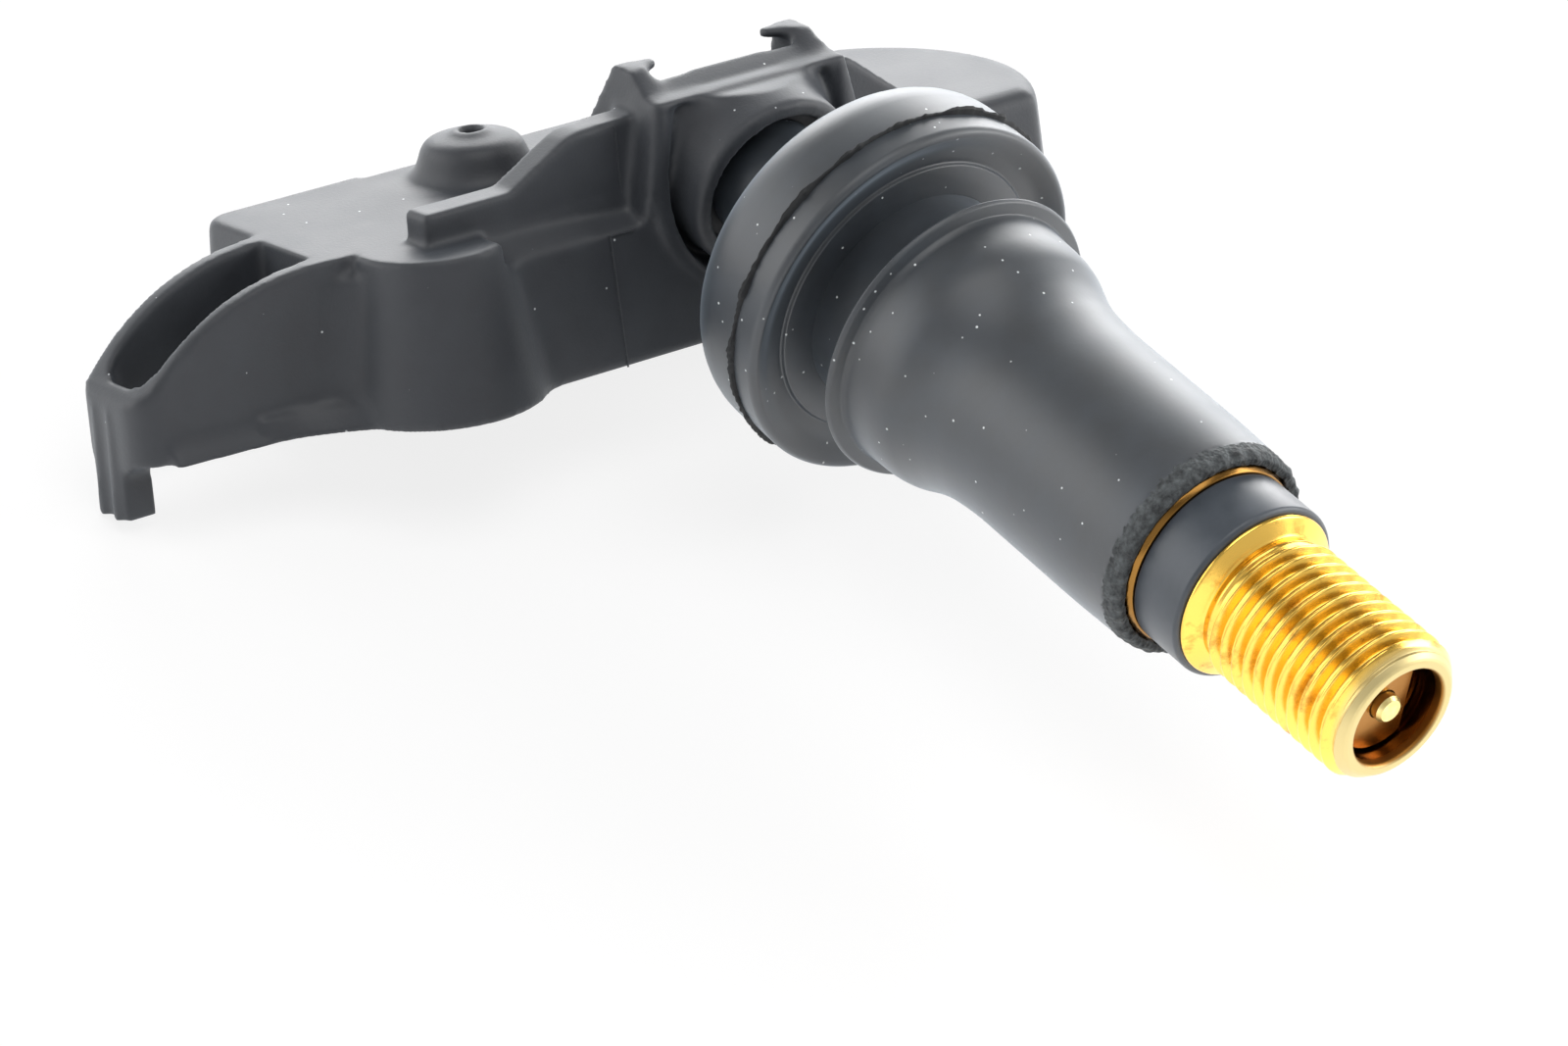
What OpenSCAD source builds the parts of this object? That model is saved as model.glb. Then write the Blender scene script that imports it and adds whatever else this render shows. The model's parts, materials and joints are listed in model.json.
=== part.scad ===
// Snap-in tyre pressure sensor: a moulded sensor housing on a rubber valve stem.
// Origin on the stem axis in the middle of the neck that sits in the wheel's valve hole.
// -Y runs along the stem to its tip, +X along the housing, +Z away from the wheel's axle.

/* [Stem and rubber] */
// Radius of the rubber neck in the valve hole
neck_r = 5.9; // [5.4:0.1:6.4]
// Length of the rubber neck between bulb and shoulder
neck_len = 3; // [2:0.5:5]
// Radius of the bulb that stays inside the wheel
bulb_r = 9.8; // [8.6:0.1:10.4]
// Length of the bulb along the stem
bulb_len = 6.4; // [5:0.2:8]
// Radius of the shoulder lip outside the wheel
shoulder_r = 7.86; // [7:0.1:8.6]
// Radius of the slim rubber barrel
barrel_r = 5.75; // [5.4:0.05:6.2]
// Length of rubber from the neck to its cut end
rubber_len = 20.6; // [16:0.2:34]
// Outer radius of the brass tube inside the rubber
tube_r = 3.6; // [3.3:0.1:4]
// Outer radius of the brass tube behind the bulb
tail_r = 2.7; // [2.5:0.05:2.9]
// Thickness of the rubber over the tube behind the bulb
tail_skin = 0.5; // [0.3:0.05:0.8]
// Radius of the air passage in the tube
air_r = 1.2; // [0.9:0.1:1.5]
// Radius of the black sleeve beside the thread
sleeve_r = 4.7; // [4.4:0.05:4.9]
// Length of the black sleeve
sleeve_len = 3.1; // [2:0.1:5]

/* [Valve thread and core] */
// Outside radius of the cap thread
cap_thread_r = 3.85; // [3.8:0.05:3.9]
// Length of the cap thread
cap_thread_len = 8.5; // [7:0.5:10]
// Radius of the valve's mouth
mouth_r = 2.62; // [2.55:0.01:2.7]
// Depth of the threaded part of the mouth
mouth_depth = 5.6; // [5:0.2:7]
// Radius of the bore that holds the core's barrel
core_bore_r = 1.95; // [1.85:0.05:2.1]
// Radius of the core's pin
pin_r = 0.72; // [0.6:0.02:0.8]
// Radial clearance of the pin in its guide
pin_gap = 0.06; // [0.03:0.01:0.09]
// How far the pin moves in to open the valve
pin_travel = 1.4; // [1:0.1:1.6]
// Depth of the pin's end below the mouth
pin_below = 0.6; // [0.3:0.1:1]

/* [Housing] */
// Angle between the housing and the stem, so it lies on the rim
tilt = 20; // [10:1:30]
// Distance of the housing's front wall behind the bulb's flash line
front_y = 10.9; // [10:0.1:13]
// Depth of the housing from front to back
body_d = 15.5; // [15:0.1:18]
// Height of the housing
body_h = 8.3; // [8:0.1:10]
// Height of the housing's top above the stem axis point
top_z = 4; // [3.5:0.1:4.5]
// Distance of the left end from the stem axis
left_x = 23.8; // [22:0.2:28]
// Radius of the rounded right end
end_r = 10; // [9:0.1:11]
// Distance of the right end's centre from the stem axis
end_x = 11.2; // [10:0.1:14]
// Wall thickness of the housing
wall = 1.2; // [1:0.05:1.4]
// Draft of the housing's outer walls, in degrees
draft = 3; // [0:0.5:4]

/* [Spring arm] */
// Reach of the loop past the housing's left end
arm_reach = 10.8; // [9:0.2:14]
// Thickness of the loop's walls
arm_wall = 1.1; // [0.9:0.1:1.4]
// Outer width of the loop at the housing
arm_w = 6.8; // [6:0.1:8]
// Radius of the loop's curved top
arm_curve_r = 13; // [11.4:0.2:16]
// Height of the foot below the housing's underside
foot_drop = 2.95; // [1:0.05:4]

/* [Stem bracket] */
// Half width of the bracket at its top
bracket_top_w = 5.95; // [5.6:0.05:6.4]
// Half width of the bracket at the stem axis
bracket_mid_w = 7; // [6.8:0.1:7.6]
// Height of the bracket's front wall above the housing's top
bracket_rise = 4.7; // [4.2:0.1:5.4]
// Thickness of the bracket's side walls
cheek_t = 1.2; // [1:0.1:1.6]
// Radius of the stem's cup at its rim
hub_r = 4.5; // [4.2:0.1:5]
// Depth of the cup that the stem sits in
cup_depth = 1.2; // [0.8:0.1:1.6]

/* [Electronics] */
// Radius of the coin cell
cell_r = 6.25; // [5.5:0.05:6.4]
// Thickness of the coin cell
cell_t = 2.5; // [1.6:0.1:2.5]
// Thickness of the circuit board
board_t = 0.8; // [0.6:0.1:1]
// Distance of the air port from the housing's left end
port_in = 13.8; // [11:0.2:15]

/* [Hidden] */
$fn = 64;
eps = 0.01;

plastic = [0.13, 0.14, 0.15];
rubber = [0.09, 0.1, 0.11];
brass = [0.83, 0.62, 0.18];
steel = [0.66, 0.67, 0.68];

// Stations along the stem, counted from the bulb's flash line towards the tip
neck_from = 1.3;
neck_to = neck_from + neck_len;
seat_s = (neck_from + neck_to) / 2;
bulb_front = 1.7;
bulb_back = bulb_front - bulb_len;
rubber_end = neck_to + rubber_len;
collar_t = 1;
collar_r = sleeve_r + 0.25;
collar_out = 0.1;
sleeve_from = rubber_end + collar_out;
sleeve_to = sleeve_from + sleeve_len;
relief_len = 0.55;
thread_from = sleeve_to + relief_len + 0.6;
thread_to = thread_from + cap_thread_len;
tip_s = thread_to + 0.8;

// The housing's seat on the stem, behind the bulb
hub_front = -(front_y - 1.2);
cup_in_r = hub_r - 0.5;
cup_floor = hub_front - cup_depth;
tube_back = cup_floor - 1.1;
web_t = 1.6;
washer_seat = tube_back - web_t;
washer_t = 0.6;
head_h = 1.9;
head_r = 2.7;
washer_r = 3.1;
screw_r = 1.5;
screw_gap = 0.05;
screw_in = 3.6;
screw_tip = tube_back + screw_in;
pocket_r = washer_r + 0.35;
air_back = -6.9;
air_hole_r = 0.6;
air_hole_s = air_back + air_hole_r;
key_flat = tail_r - 0.5;
seat_gap = 0.05;
neck_back_r = tail_r + tail_skin;
tail_end = bulb_back + 0.3;

// Recess in the bracket's wall around the cup
recess_r = hub_r + 1;
recess_floor = hub_front - 2.5;
face_top = top_z + bracket_rise - 0.35;

// Levels in the housing, whose own axes keep X and tilt Y and Z
base_z = top_z - body_h;
ceiling_z = top_z - wall;
board_top = 0.6;
board_low = board_top - board_t;
fill_z = base_z + 0.35;
back_y = front_y + body_d;
mid_y = front_y + 7.1;
left_front_y = front_y + 3.7;
left_split_x = -left_x + 5.8;
edge_r = 1;
left_edge_r = 0.5;
spread = body_h * tan(draft);
saddle_x = 6.6;
saddle_y = back_y - 7.2;
board_gap = 0.3;
sill_y = front_y + 3.7;
arm_front = left_front_y - 0.1;
arm_back = arm_front + arm_w;
arm_tip_x = -left_x - arm_reach;
arm_corner_r = 1.6;
arm_corner_in = 0.9;
arm_back_r = 1.5;

// Coin cell and its welded strips, under the board
can_gap = 0.3;
can_r = min(cell_r, body_d / 2 - wall - can_gap);
cell_x = end_x + 1;
cell_y = front_y + body_d / 2;
tab_t = 0.2;
tab_w = 3;
tab_reach = 2.4;
cell_top = board_low - tab_t;
cell_low = cell_top - cell_t;

// Pressure port, its chip and seal
port_x = -left_x + port_in;
port_y = back_y - 4.8;
port_r = 0.6;
chip_side = 5;
gasket_t = 0.35;
chip_top = ceiling_z - gasket_t;

// Wake-up receiver coil
coil_x = left_split_x + 0.3;
coil_y = mid_y + 1.2;
coil_len = 4.6;
coil_w = 2.6;
coil_h = 1.8;
flange_t = 0.7;

// Valve core, from the mouth inwards
mouth_floor = tip_s - mouth_depth;
swivel_top = tip_s - 1.2;
swivel_low = mouth_floor + 0.1;
barrel_back = mouth_floor - 7;
barrel_bore_r = 1.35;
barrel_wall_r = core_bore_r - 0.1;
core_gasket_t = 0.9;
seat_cone = 1;
gasket_low = mouth_floor - seat_cone;
gasket_groove = 0.2;
gasket_play = 0.05;
guide_r = pin_r + pin_gap;
cup_low = barrel_back - 1.4;
cup_r = 1.55;
cup_wall = 0.2;
seal_t = 0.5;
pin_low = cup_low - 0.5;
core_bore_end = pin_low - pin_travel - 0.2;

// Round wire spring between the barrel's back lip and the pin's collar
spring_low = barrel_back + 0.65;
spring_top = swivel_low - 0.65;
spring_turns = 6;
wire_r = 0.12;
spring_r = 1.05;
per_turn = 14;
wire_sides = 6;

// Moves its children from the housing's own axes to the part's frame
module in_housing() {
    translate([0, seat_s, 0])
        rotate([-tilt, 0, 0])
            children();
}

// Moves its children so that their Z runs along the stem from the flash line to the tip
module on_stem() {
    translate([0, seat_s, 0])
        rotate([90, 0, 0])
            children();
}

module ring(z_from, z_to, r_out, r_in) {
    translate([0, 0, z_from])
        difference() {
            cylinder(h = z_to - z_from, r = r_out);
            translate([0, 0, -1])
                cylinder(h = z_to - z_from + 2, r = r_in);
        }
}

module rod(z_from, z_to, r_from, r_to) {
    translate([0, 0, z_from])
        cylinder(h = z_to - z_from, r1 = r_from, r2 = r_to);
}

module block(from, to) {
    translate(from)
        cube(to - from);
}

// Outline of the housing's main part from above, moved out by grow
module main_outline(grow) {
    intersection() {
        translate([left_split_x, front_y - grow])
            square([-left_split_x + end_x + end_r + grow, body_d + 2 * grow]);
        union() {
            translate([left_split_x, front_y - grow])
                square([-left_split_x + end_x, body_d + 2 * grow]);
            translate([end_x, mid_y])
                circle(r = end_r + grow);
        }
    }
}

// Outline of the housing's narrower left end, with its rounded back corner
module left_outline(grow) {
    corner_r = 1.6;
    lap = 4;
    translate([-left_x - grow, left_front_y - grow])
        square([left_x + left_split_x + grow + lap, back_y - left_front_y - corner_r + grow]);
    translate([-left_x + corner_r, left_front_y])
        square([left_x + left_split_x - corner_r + lap, back_y - left_front_y + grow]);
    translate([-left_x + corner_r, back_y - corner_r])
        circle(r = corner_r + grow);
}

// A drafted block on an outline, wider at the bottom and with a rounded top edge
module moulded(edge) {
    steps = 3;
    hull() {
        translate([0, 0, base_z])
            linear_extrude(eps)
                children(0);
        for (i = [0:steps])
            translate([0, 0, top_z - edge * (1 - sin(90 * i / steps)) - eps])
                linear_extrude(eps)
                    offset(delta = -edge * (1 - cos(90 * i / steps)))
                        children(1);
    }
}

// Round lobe at the front left, a tapered post
module lobe() {
    lobe_x = left_split_x + 0.2;
    lobe_y = front_y + 3.6;
    translate([lobe_x, lobe_y, base_z])
        cylinder(h = body_h, r1 = 5, r2 = 3.95);
}

// Low rail on the top that rises as a gusset to the bracket's cheek
module rail_and_gussets() {
    rail_front = front_y + 1.3;
    rail_t = 1.9;
    rail_top = top_z + 1.7;
    rail_end = left_split_x - 1.1;
    root_x = bracket_top_w - 0.05;
    translate([0, rail_front + rail_t, 0])
        rotate([90, 0, 0])
            linear_extrude(rail_t)
                polygon([[rail_end, top_z - 1], [rail_end, rail_top - 0.2], [rail_end + 0.2, rail_top],
                         [-13.9, rail_top], [-10.4, top_z + 3.6], [-9.6, top_z + 3.85],
                         [-root_x, top_z + 3.95], [-root_x, top_z - 1]]);
    translate([0, rail_front + rail_t, 0])
        rotate([90, 0, 0])
            linear_extrude(rail_t)
                polygon([[root_x, top_z - 1], [root_x, top_z + 3.95], [7.4, top_z + 3.9],
                         [12.4, top_z], [12.4, top_z - 1]]);
}

// Dome over the pressure port: flared skirt, flat shoulder and a low cone
module port_dome() {
    translate([port_x, port_y, top_z - eps])
        rotate_extrude()
            polygon([[0, 0], [3.6, 0], [3.3, 0.15], [3.05, 0.5], [2.85, 1], [2.7, 1.5], [2.45, 1.85],
                     [2.05, 2.03], [1.5, 2.12], [1.1, 2.24], [0.85, 2.4], [0, 2.42]]);
}

module port_bore() {
    translate([port_x, port_y, ceiling_z - 1])
        cylinder(h = 6, r = port_r);
}

// Outline of the bracket from the front, moved in by inset
module bracket_face(inset) {
    stem_z = front_y * tan(tilt);
    intersection() {
        translate([0, stem_z])
            circle(r = bracket_mid_w - 0.4 - inset);
        translate([-bracket_mid_w, stem_z - bracket_mid_w])
            square([2 * bracket_mid_w, bracket_mid_w + 0.5]);
    }
    polygon([[-bracket_mid_w + inset, stem_z], [-bracket_top_w + inset, top_z + bracket_rise - inset],
             [bracket_top_w - inset, top_z + bracket_rise - inset], [bracket_mid_w - inset, stem_z]]);
}

// Front wall of the bracket around the stem, with a stepped rim and a shallow pocket inside it
module bracket_wall() {
    rim_y = front_y - 0.4;
    rim_step = 0.2;
    pocket_d = 0.75;
    frame_w = 0.45;
    wall_back = front_y + 2;
    difference() {
        for (step = [0, 1])
            translate([0, wall_back, 0])
                rotate([90, 0, 0])
                    linear_extrude(wall_back - rim_y - rim_step * step)
                        bracket_face(rim_step * (1 - step));
        translate([0, rim_y + pocket_d, 0])
            rotate([90, 0, 0])
                linear_extrude(2)
                    polygon([[-recess_r, front_y * tan(tilt)], [-bracket_top_w + frame_w, face_top],
                             [bracket_top_w - frame_w, face_top], [recess_r, front_y * tan(tilt)]]);
    }
    strip_w = bracket_top_w - cheek_t + 0.1;
    translate([-strip_w, wall_back, top_z])
        rotate([90, 0, 90])
            linear_extrude(2 * strip_w)
                polygon([[-1.1, 4], [0, 4], [0, 5.3], [-1, 4.85]]);
}

// One side wall of the bracket with its hook, on the right
module cheek() {
    lean = atan((bracket_mid_w - bracket_top_w) / (top_z + bracket_rise - front_y * tan(tilt)));
    cheek_set = 0.06;
    intersection() {
        translate([-1, 0, 0])
            rotate([90, 0, 90])
                linear_extrude(12)
                    polygon([[front_y - 0.2, top_z - 1], [front_y - 0.2, top_z + 4.6],
                             [front_y + 0.9, top_z + 4.85], [front_y + 2.3, top_z + 5.9],
                             [front_y + 3.9, top_z + 5.95], [front_y + 5.3, top_z + 3.4],
                             [front_y + 7.6, top_z], [front_y + 7.6, top_z - 1]]);
        translate([bracket_top_w - cheek_set, 0, top_z + bracket_rise])
            rotate([0, -lean, 0])
                translate([-cheek_t, 0, -9])
                    cube([cheek_t, 40, 11]);
    }
    hook_top = top_z + 5.95;
    hook_t = 0.6;
    translate([0, 0, hook_top - hook_t])
        linear_extrude(hook_t)
            polygon([[bracket_top_w - cheek_t + 0.2, front_y + 1.9], [3.9, front_y + 2.8],
                     [3.3, front_y + 3], [3.3, front_y + 3.7],
                     [bracket_top_w - cheek_t + 0.2, front_y + 3.9]]);
}

// Cup behind the bulb, which flares out of the bracket's wall
module hub() {
    on_stem()
        rotate_extrude()
            polygon([[0, washer_seat], [hub_r + 1.3, washer_seat], [hub_r + 1, hub_front - 3.1],
                     [hub_r + 0.6, hub_front - 2.5], [hub_r + 0.42, hub_front - 1.8],
                     [hub_r + 0.38, hub_front - 0.25], [hub_r + 0.22, hub_front - 0.05],
                     [hub_r, hub_front], [0, hub_front]]);
}

// The spring arm's plan, a little narrower at its rounded tip
module arm_outline() {
    hull() {
        translate([-left_x + 1, arm_front])
            square([1, arm_w]);
        translate([arm_tip_x + arm_corner_r, arm_front + arm_corner_in + arm_corner_r])
            circle(r = arm_corner_r);
        translate([arm_tip_x + arm_back_r, arm_back - arm_back_r])
            circle(r = arm_back_r);
    }
}

// The loop's hole in the arm, in plan
module arm_hole() {
    front_r = 1.4;
    back_r = 1.2;
    hole_front = arm_front + arm_wall + 0.2;
    hole_back = arm_back - arm_wall;
    hull() {
        translate([-left_x - 1, hole_front])
            square([1, hole_back - hole_front]);
        translate([arm_tip_x + arm_wall + front_r, hole_front + 0.3 + front_r])
            circle(r = front_r);
        translate([arm_tip_x + arm_wall + back_r, hole_back - back_r])
            circle(r = back_r);
    }
}

// Looped arm that springs the sensor against the rim, with a ribbed foot
module spring_arm() {
    tip_top = -0.5;
    intersection() {
        difference() {
            translate([0, 0, base_z])
                linear_extrude(body_h)
                    arm_outline();
            translate([0, 0, base_z - 1])
                linear_extrude(body_h + 2)
                    arm_hole();
        }
        union() {
            translate([-left_x, back_y + 5, top_z - arm_curve_r])
                rotate([90, 0, 0])
                    cylinder(h = body_d + 10, r = arm_curve_r, $fn = 128);
            translate([0, back_y + 5, 0])
                rotate([90, 0, 0])
                    linear_extrude(body_d + 10)
                        polygon([[arm_tip_x - 1, base_z - 1], [arm_tip_x - 1, tip_top - 1.3],
                                 [arm_tip_x + 0.1, tip_top - 0.6], [arm_tip_x + 0.5, tip_top - 0.2],
                                 [arm_tip_x + 1, tip_top], [-left_x - 5, tip_top],
                                 [-left_x - 5, base_z - 1]]);
            block([-left_x - 0.2, arm_front - 5, base_z - 1], [-left_x + 3, arm_back + 5, top_z]);
        }
    }
    arm_flange();
    foot();
}

// Flare along the bottom of the arm's front wall, which runs out at the tip
module arm_flange() {
    flange_out = 1.15;
    flange_h = 1.4;
    flange_from = -left_x + 2.8;
    translate([flange_from, arm_front, base_z])
        rotate([0, 0, -5])
            rotate([90, 0, -90])
                linear_extrude(flange_from - arm_tip_x - 1.6)
                    polygon([[-1, 0], [flange_out, 0], [flange_out - 0.4, 0.3], [flange_out - 0.8, 0.8],
                             [flange_out - 1, flange_h], [-1, flange_h]]);
}

// Foot under the arm's tip, with two ribs on its end that fade out towards the top
module foot() {
    foot_front = arm_front + 2.9;
    foot_back = arm_back - 1.1;
    foot_t = 1.65;
    foot_low = base_z - foot_drop;
    neck_z = base_z - 0.6;
    rib_r = 0.42;
    rib_top = -1.6;
    intersection() {
        translate([0, 0, foot_low])
            linear_extrude(foot_drop + 0.3)
                intersection() {
                    arm_outline();
                    translate([arm_tip_x, arm_front])
                        square([foot_t, arm_w]);
                }
        translate([arm_tip_x - 1, 0, 0])
            rotate([90, 0, 90])
                linear_extrude(foot_t + 2)
                    polygon([[foot_front - 1.5, base_z + 0.4], [foot_front, neck_z], [foot_front, foot_low],
                             [foot_back, foot_low], [foot_back, neck_z], [foot_back + 0.5, base_z + 0.4]]);
    }
    for (y = [foot_front + 0.75, foot_front + 2.1])
        translate([arm_tip_x + 0.1, y, foot_low])
            cylinder(h = rib_top - foot_low, r1 = rib_r, r2 = 0.2, $fn = 24);
}

// Space inside the housing, open at the bottom
module cavity_outline() {
    main_outline(-wall);
    translate([-left_x + wall, left_front_y + wall])
        square([left_x + left_split_x - wall + 3, back_y - left_front_y - 2 * wall]);
}

module cavity() {
    difference() {
        translate([0, 0, base_z - 1])
            linear_extrude(ceiling_z - base_z + 1)
                cavity_outline();
        block([-saddle_x, front_y - 1, board_top], [saddle_x, saddle_y, top_z]);
        sill(0);
    }
}

// Solid plastic behind the recess for the stem's cup, grown by gap
module sill(gap) {
    block([-saddle_x - gap, front_y - 1, base_z - 1], [saddle_x + gap, sill_y + gap, board_top + gap]);
}

// Main body with the bracket that the stem seats in
module housing_core() {
    moulded(edge_r) {
        main_outline(spread);
        main_outline(0);
    }
    bracket_wall();
    cheek();
    mirror([1, 0, 0])
        cheek();
}

// The tube's keyed back end, a round rod with one flat, grown by gap
module keyed_end(gap) {
    difference() {
        rod(tube_back, cup_floor + 0.5, tail_r + gap, tail_r + gap);
        block([-10, key_flat + gap, tube_back - 1], [10, 10, cup_floor + 1]);
    }
}

// Lower body on the left and everything that stands on the two bodies
module housing_left() {
    moulded(left_edge_r) {
        left_outline(spread);
        left_outline(0);
    }
    lobe();
    rail_and_gussets();
    port_dome();
    spring_arm();
}

module housing() {
    color(plastic)
    difference() {
        union() {
            difference() {
                in_housing()
                    housing_core();
                on_stem()
                    rod(recess_floor, hub_front + 12, recess_r, recess_r);
            }
            in_housing()
                housing_left();
            intersection() {
                hub();
                in_housing()
                    block([-20, front_y - 6, base_z], [20, back_y, face_top + 0.1]);
            }
        }
        in_housing() {
            cavity();
            port_bore();
        }
        on_stem() {
            keyed_end(seat_gap);
            rod(cup_floor, hub_front + 1, cup_in_r, cup_in_r);
            rod(washer_seat - eps, tube_back + 1, screw_r + 0.15, screw_r + 0.15);
            rod(washer_seat - 9, washer_seat, pocket_r, pocket_r);
        }
    }
}

module potting() {
    color([0.07, 0.07, 0.075])
    difference() {
        in_housing()
            translate([0, 0, fill_z])
                linear_extrude(board_low - fill_z)
                    cavity_outline();
        in_housing()
            sill(0);
        cell_solids();
    }
}

module cell_solids() {
    coin_cell();
    cell_tab_top();
    cell_tab_bottom();
}

// The board fills the housing's plan but for a small gap
module circuit_board() {
    hole_r = 0.6;
    color([0.07, 0.3, 0.14])
    in_housing()
        difference() {
            translate([0, 0, board_low])
                linear_extrude(board_t)
                    main_outline(-wall - board_gap);
            sill(board_gap);
            translate([end_x - 3, back_y - wall - board_gap - 1.5, board_low - 1])
                cylinder(h = board_t + 2, r = hole_r);
        }
}

// Coin cell with a stepped rim
module coin_cell() {
    rim_step = 0.35;
    color(steel)
    in_housing()
        translate([cell_x, cell_y, cell_low])
            rotate_extrude()
                polygon([[0, 0], [can_r, 0], [can_r, cell_t - rim_step], [can_r - 0.5, cell_t - rim_step],
                         [can_r - 0.9, cell_t], [0, cell_t]]);
}

// Welded strip between the cell and the board
module cell_tab_top() {
    color([0.8, 0.79, 0.75])
    in_housing()
        block([cell_x - can_r - tab_reach, cell_y - tab_w / 2, cell_top],
              [cell_x + 3, cell_y + tab_w / 2, board_low]);
}

// Welded strip under the cell that bends up to the board
module cell_tab_bottom() {
    riser_x = cell_x - can_r - 0.5;
    color([0.8, 0.79, 0.75])
    in_housing() {
        block([riser_x - tab_t, cell_y + 2, cell_low - tab_t], [cell_x + 3, cell_y + 2 + tab_w, cell_low]);
        block([riser_x - tab_t, cell_y + 2, cell_low - tab_t], [riser_x, cell_y + 2 + tab_w, board_low]);
    }
}

// Pressure sensor package with its sensing hole under the port
module sensor_chip() {
    color([0.1, 0.1, 0.11])
    in_housing()
        difference() {
            block([port_x - chip_side / 2, port_y - chip_side / 2, board_top],
                  [port_x + chip_side / 2, port_y + chip_side / 2, chip_top]);
            translate([port_x, port_y, chip_top - 0.8])
                cylinder(h = 2, r = 0.9);
        }
}

module port_gasket() {
    color([0.75, 0.2, 0.15])
    in_housing()
        translate([port_x, port_y, 0])
            ring(chip_top, ceiling_z, 1.9, 1);
}

// Breathing film that keeps water off the chip
module port_filter() {
    color([0.95, 0.95, 0.93])
    in_housing()
        translate([port_x, port_y, 0])
            rod(ceiling_z - 0.12, ceiling_z, 0.95, 0.95);
}

// Flanged ferrite bobbin lying along X
module wake_coil_core() {
    color([0.22, 0.22, 0.23])
    in_housing()
        translate([coil_x, coil_y, board_top]) {
            for (x = [0, coil_len - flange_t])
                block([x, 0, 0], [x + flange_t, coil_w, coil_h]);
            block([flange_t, 0.7, 0.5], [coil_len - flange_t, coil_w - 0.7, coil_h - 0.5]);
        }
}

module wake_coil_winding() {
    color([0.72, 0.36, 0.14])
    in_housing()
        translate([coil_x, coil_y, board_top])
            difference() {
                block([flange_t, 0.2, 0.15], [coil_len - flange_t, coil_w - 0.2, coil_h - 0.15]);
                block([flange_t - 1, 0.7, 0.5], [coil_len, coil_w - 0.7, coil_h - 0.5]);
            }
}

// Transmitting aerial: a raised strip on two legs at the board's back edge
module radio_antenna() {
    strip_t = 0.35;
    rise = 1.7;
    span = 12;
    strip_w = 1.1;
    from_x = -3;
    strip_y = back_y - wall - board_gap - 2;
    color([0.85, 0.84, 0.8])
    in_housing() {
        block([from_x, strip_y, board_top + rise - strip_t],
              [from_x + span, strip_y + strip_w, board_top + rise]);
        for (x = [from_x, from_x + span - strip_t])
            block([x, strip_y, board_top], [x + strip_t, strip_y + strip_w, board_top + rise]);
    }
}

module radio_chip() {
    chip_w = 4;
    chip_d = 3.6;
    chip_h = 0.9;
    color([0.12, 0.12, 0.13])
    in_housing()
        translate([-chip_w / 2, saddle_y + 0.4, board_top])
            cube([chip_w, chip_d, chip_h]);
}

module crystal() {
    crystal_x = 4;
    crystal_l = 3.2;
    crystal_w = 2.5;
    crystal_h = 0.8;
    color([0.78, 0.78, 0.76])
    in_housing()
        translate([crystal_x, saddle_y + 0.8, board_top])
            cube([crystal_l, crystal_w, crystal_h]);
}

// Small capacitors and resistors in two rows
module chip_capacitors() {
    from_x = 9;
    pitch = 1.5;
    row_gap = 2.4;
    chip_l = 1;
    chip_w = 0.5;
    color([0.62, 0.5, 0.36])
    in_housing()
        for (i = [0:5], j = [0:1])
            translate([from_x + i * pitch, mid_y - 1 + j * row_gap, board_top])
                cube([chip_l, chip_w, chip_w]);
}

// Rubber moulding: bulb, neck, shoulder and barrel in one piece
module rubber_body() {
    bulb_round = 3;
    color(rubber)
    on_stem()
        difference() {
            rotate_extrude()
                polygon(concat(
                    [[0, cup_floor + seat_gap], [neck_back_r, cup_floor + seat_gap],
                     [neck_back_r, bulb_back - 1],
                     [neck_back_r + 0.4, bulb_back - 0.6], [bulb_r - bulb_round, bulb_back - 0.3]],
                    [for (t = [10:16:90]) [bulb_r - bulb_round + bulb_round * sin(t),
                                           bulb_back + bulb_round - bulb_round * cos(t)]],
                    [[bulb_r, bulb_front - 0.35], [bulb_r - 0.12, bulb_front - 0.08],
                     [bulb_r - 0.4, bulb_front], [bulb_r - 0.75, bulb_front - 0.2],
                     [bulb_r - 1.4, bulb_front - 0.6], [7.58, 0.94], [7.45, 1.15],
                     [neck_r + 0.25, neck_from - 0.02], [neck_r, neck_from], [neck_r, neck_to],
                     [shoulder_r - 0.25, neck_to + 0.55], [shoulder_r, neck_to + 0.8],
                     [shoulder_r - 0.1, neck_to + 1], [7.15, neck_to + 1.15], [7.06, neck_to + 1.4],
                     [7, neck_to + 3.3], [6.85, neck_to + 4], [6.55, neck_to + 4.7],
                     [6.2, neck_to + 5.7], [5.95, neck_to + 6.8], [barrel_r, neck_to + 8.7],
                     [barrel_r, rubber_end - 3.9], [barrel_r - 0.17, rubber_end - 1.1],
                     [barrel_r - 0.26, rubber_end], [0, rubber_end]]));
            rod(cup_floor - 1, rubber_end + 1, tail_r, tail_r);
            rod(tail_end, rubber_end + 1, tube_r, tube_r);
            rod(rubber_end - collar_t + collar_out, rubber_end + 1, collar_r, collar_r);
            air_hole();
        }
}

// Side hole that lets the air out of the tube behind the bulb
module air_hole() {
    translate([0, 0, air_hole_s])
        rotate([90, 0, 0])
            cylinder(h = 12, r = air_hole_r);
}

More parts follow.
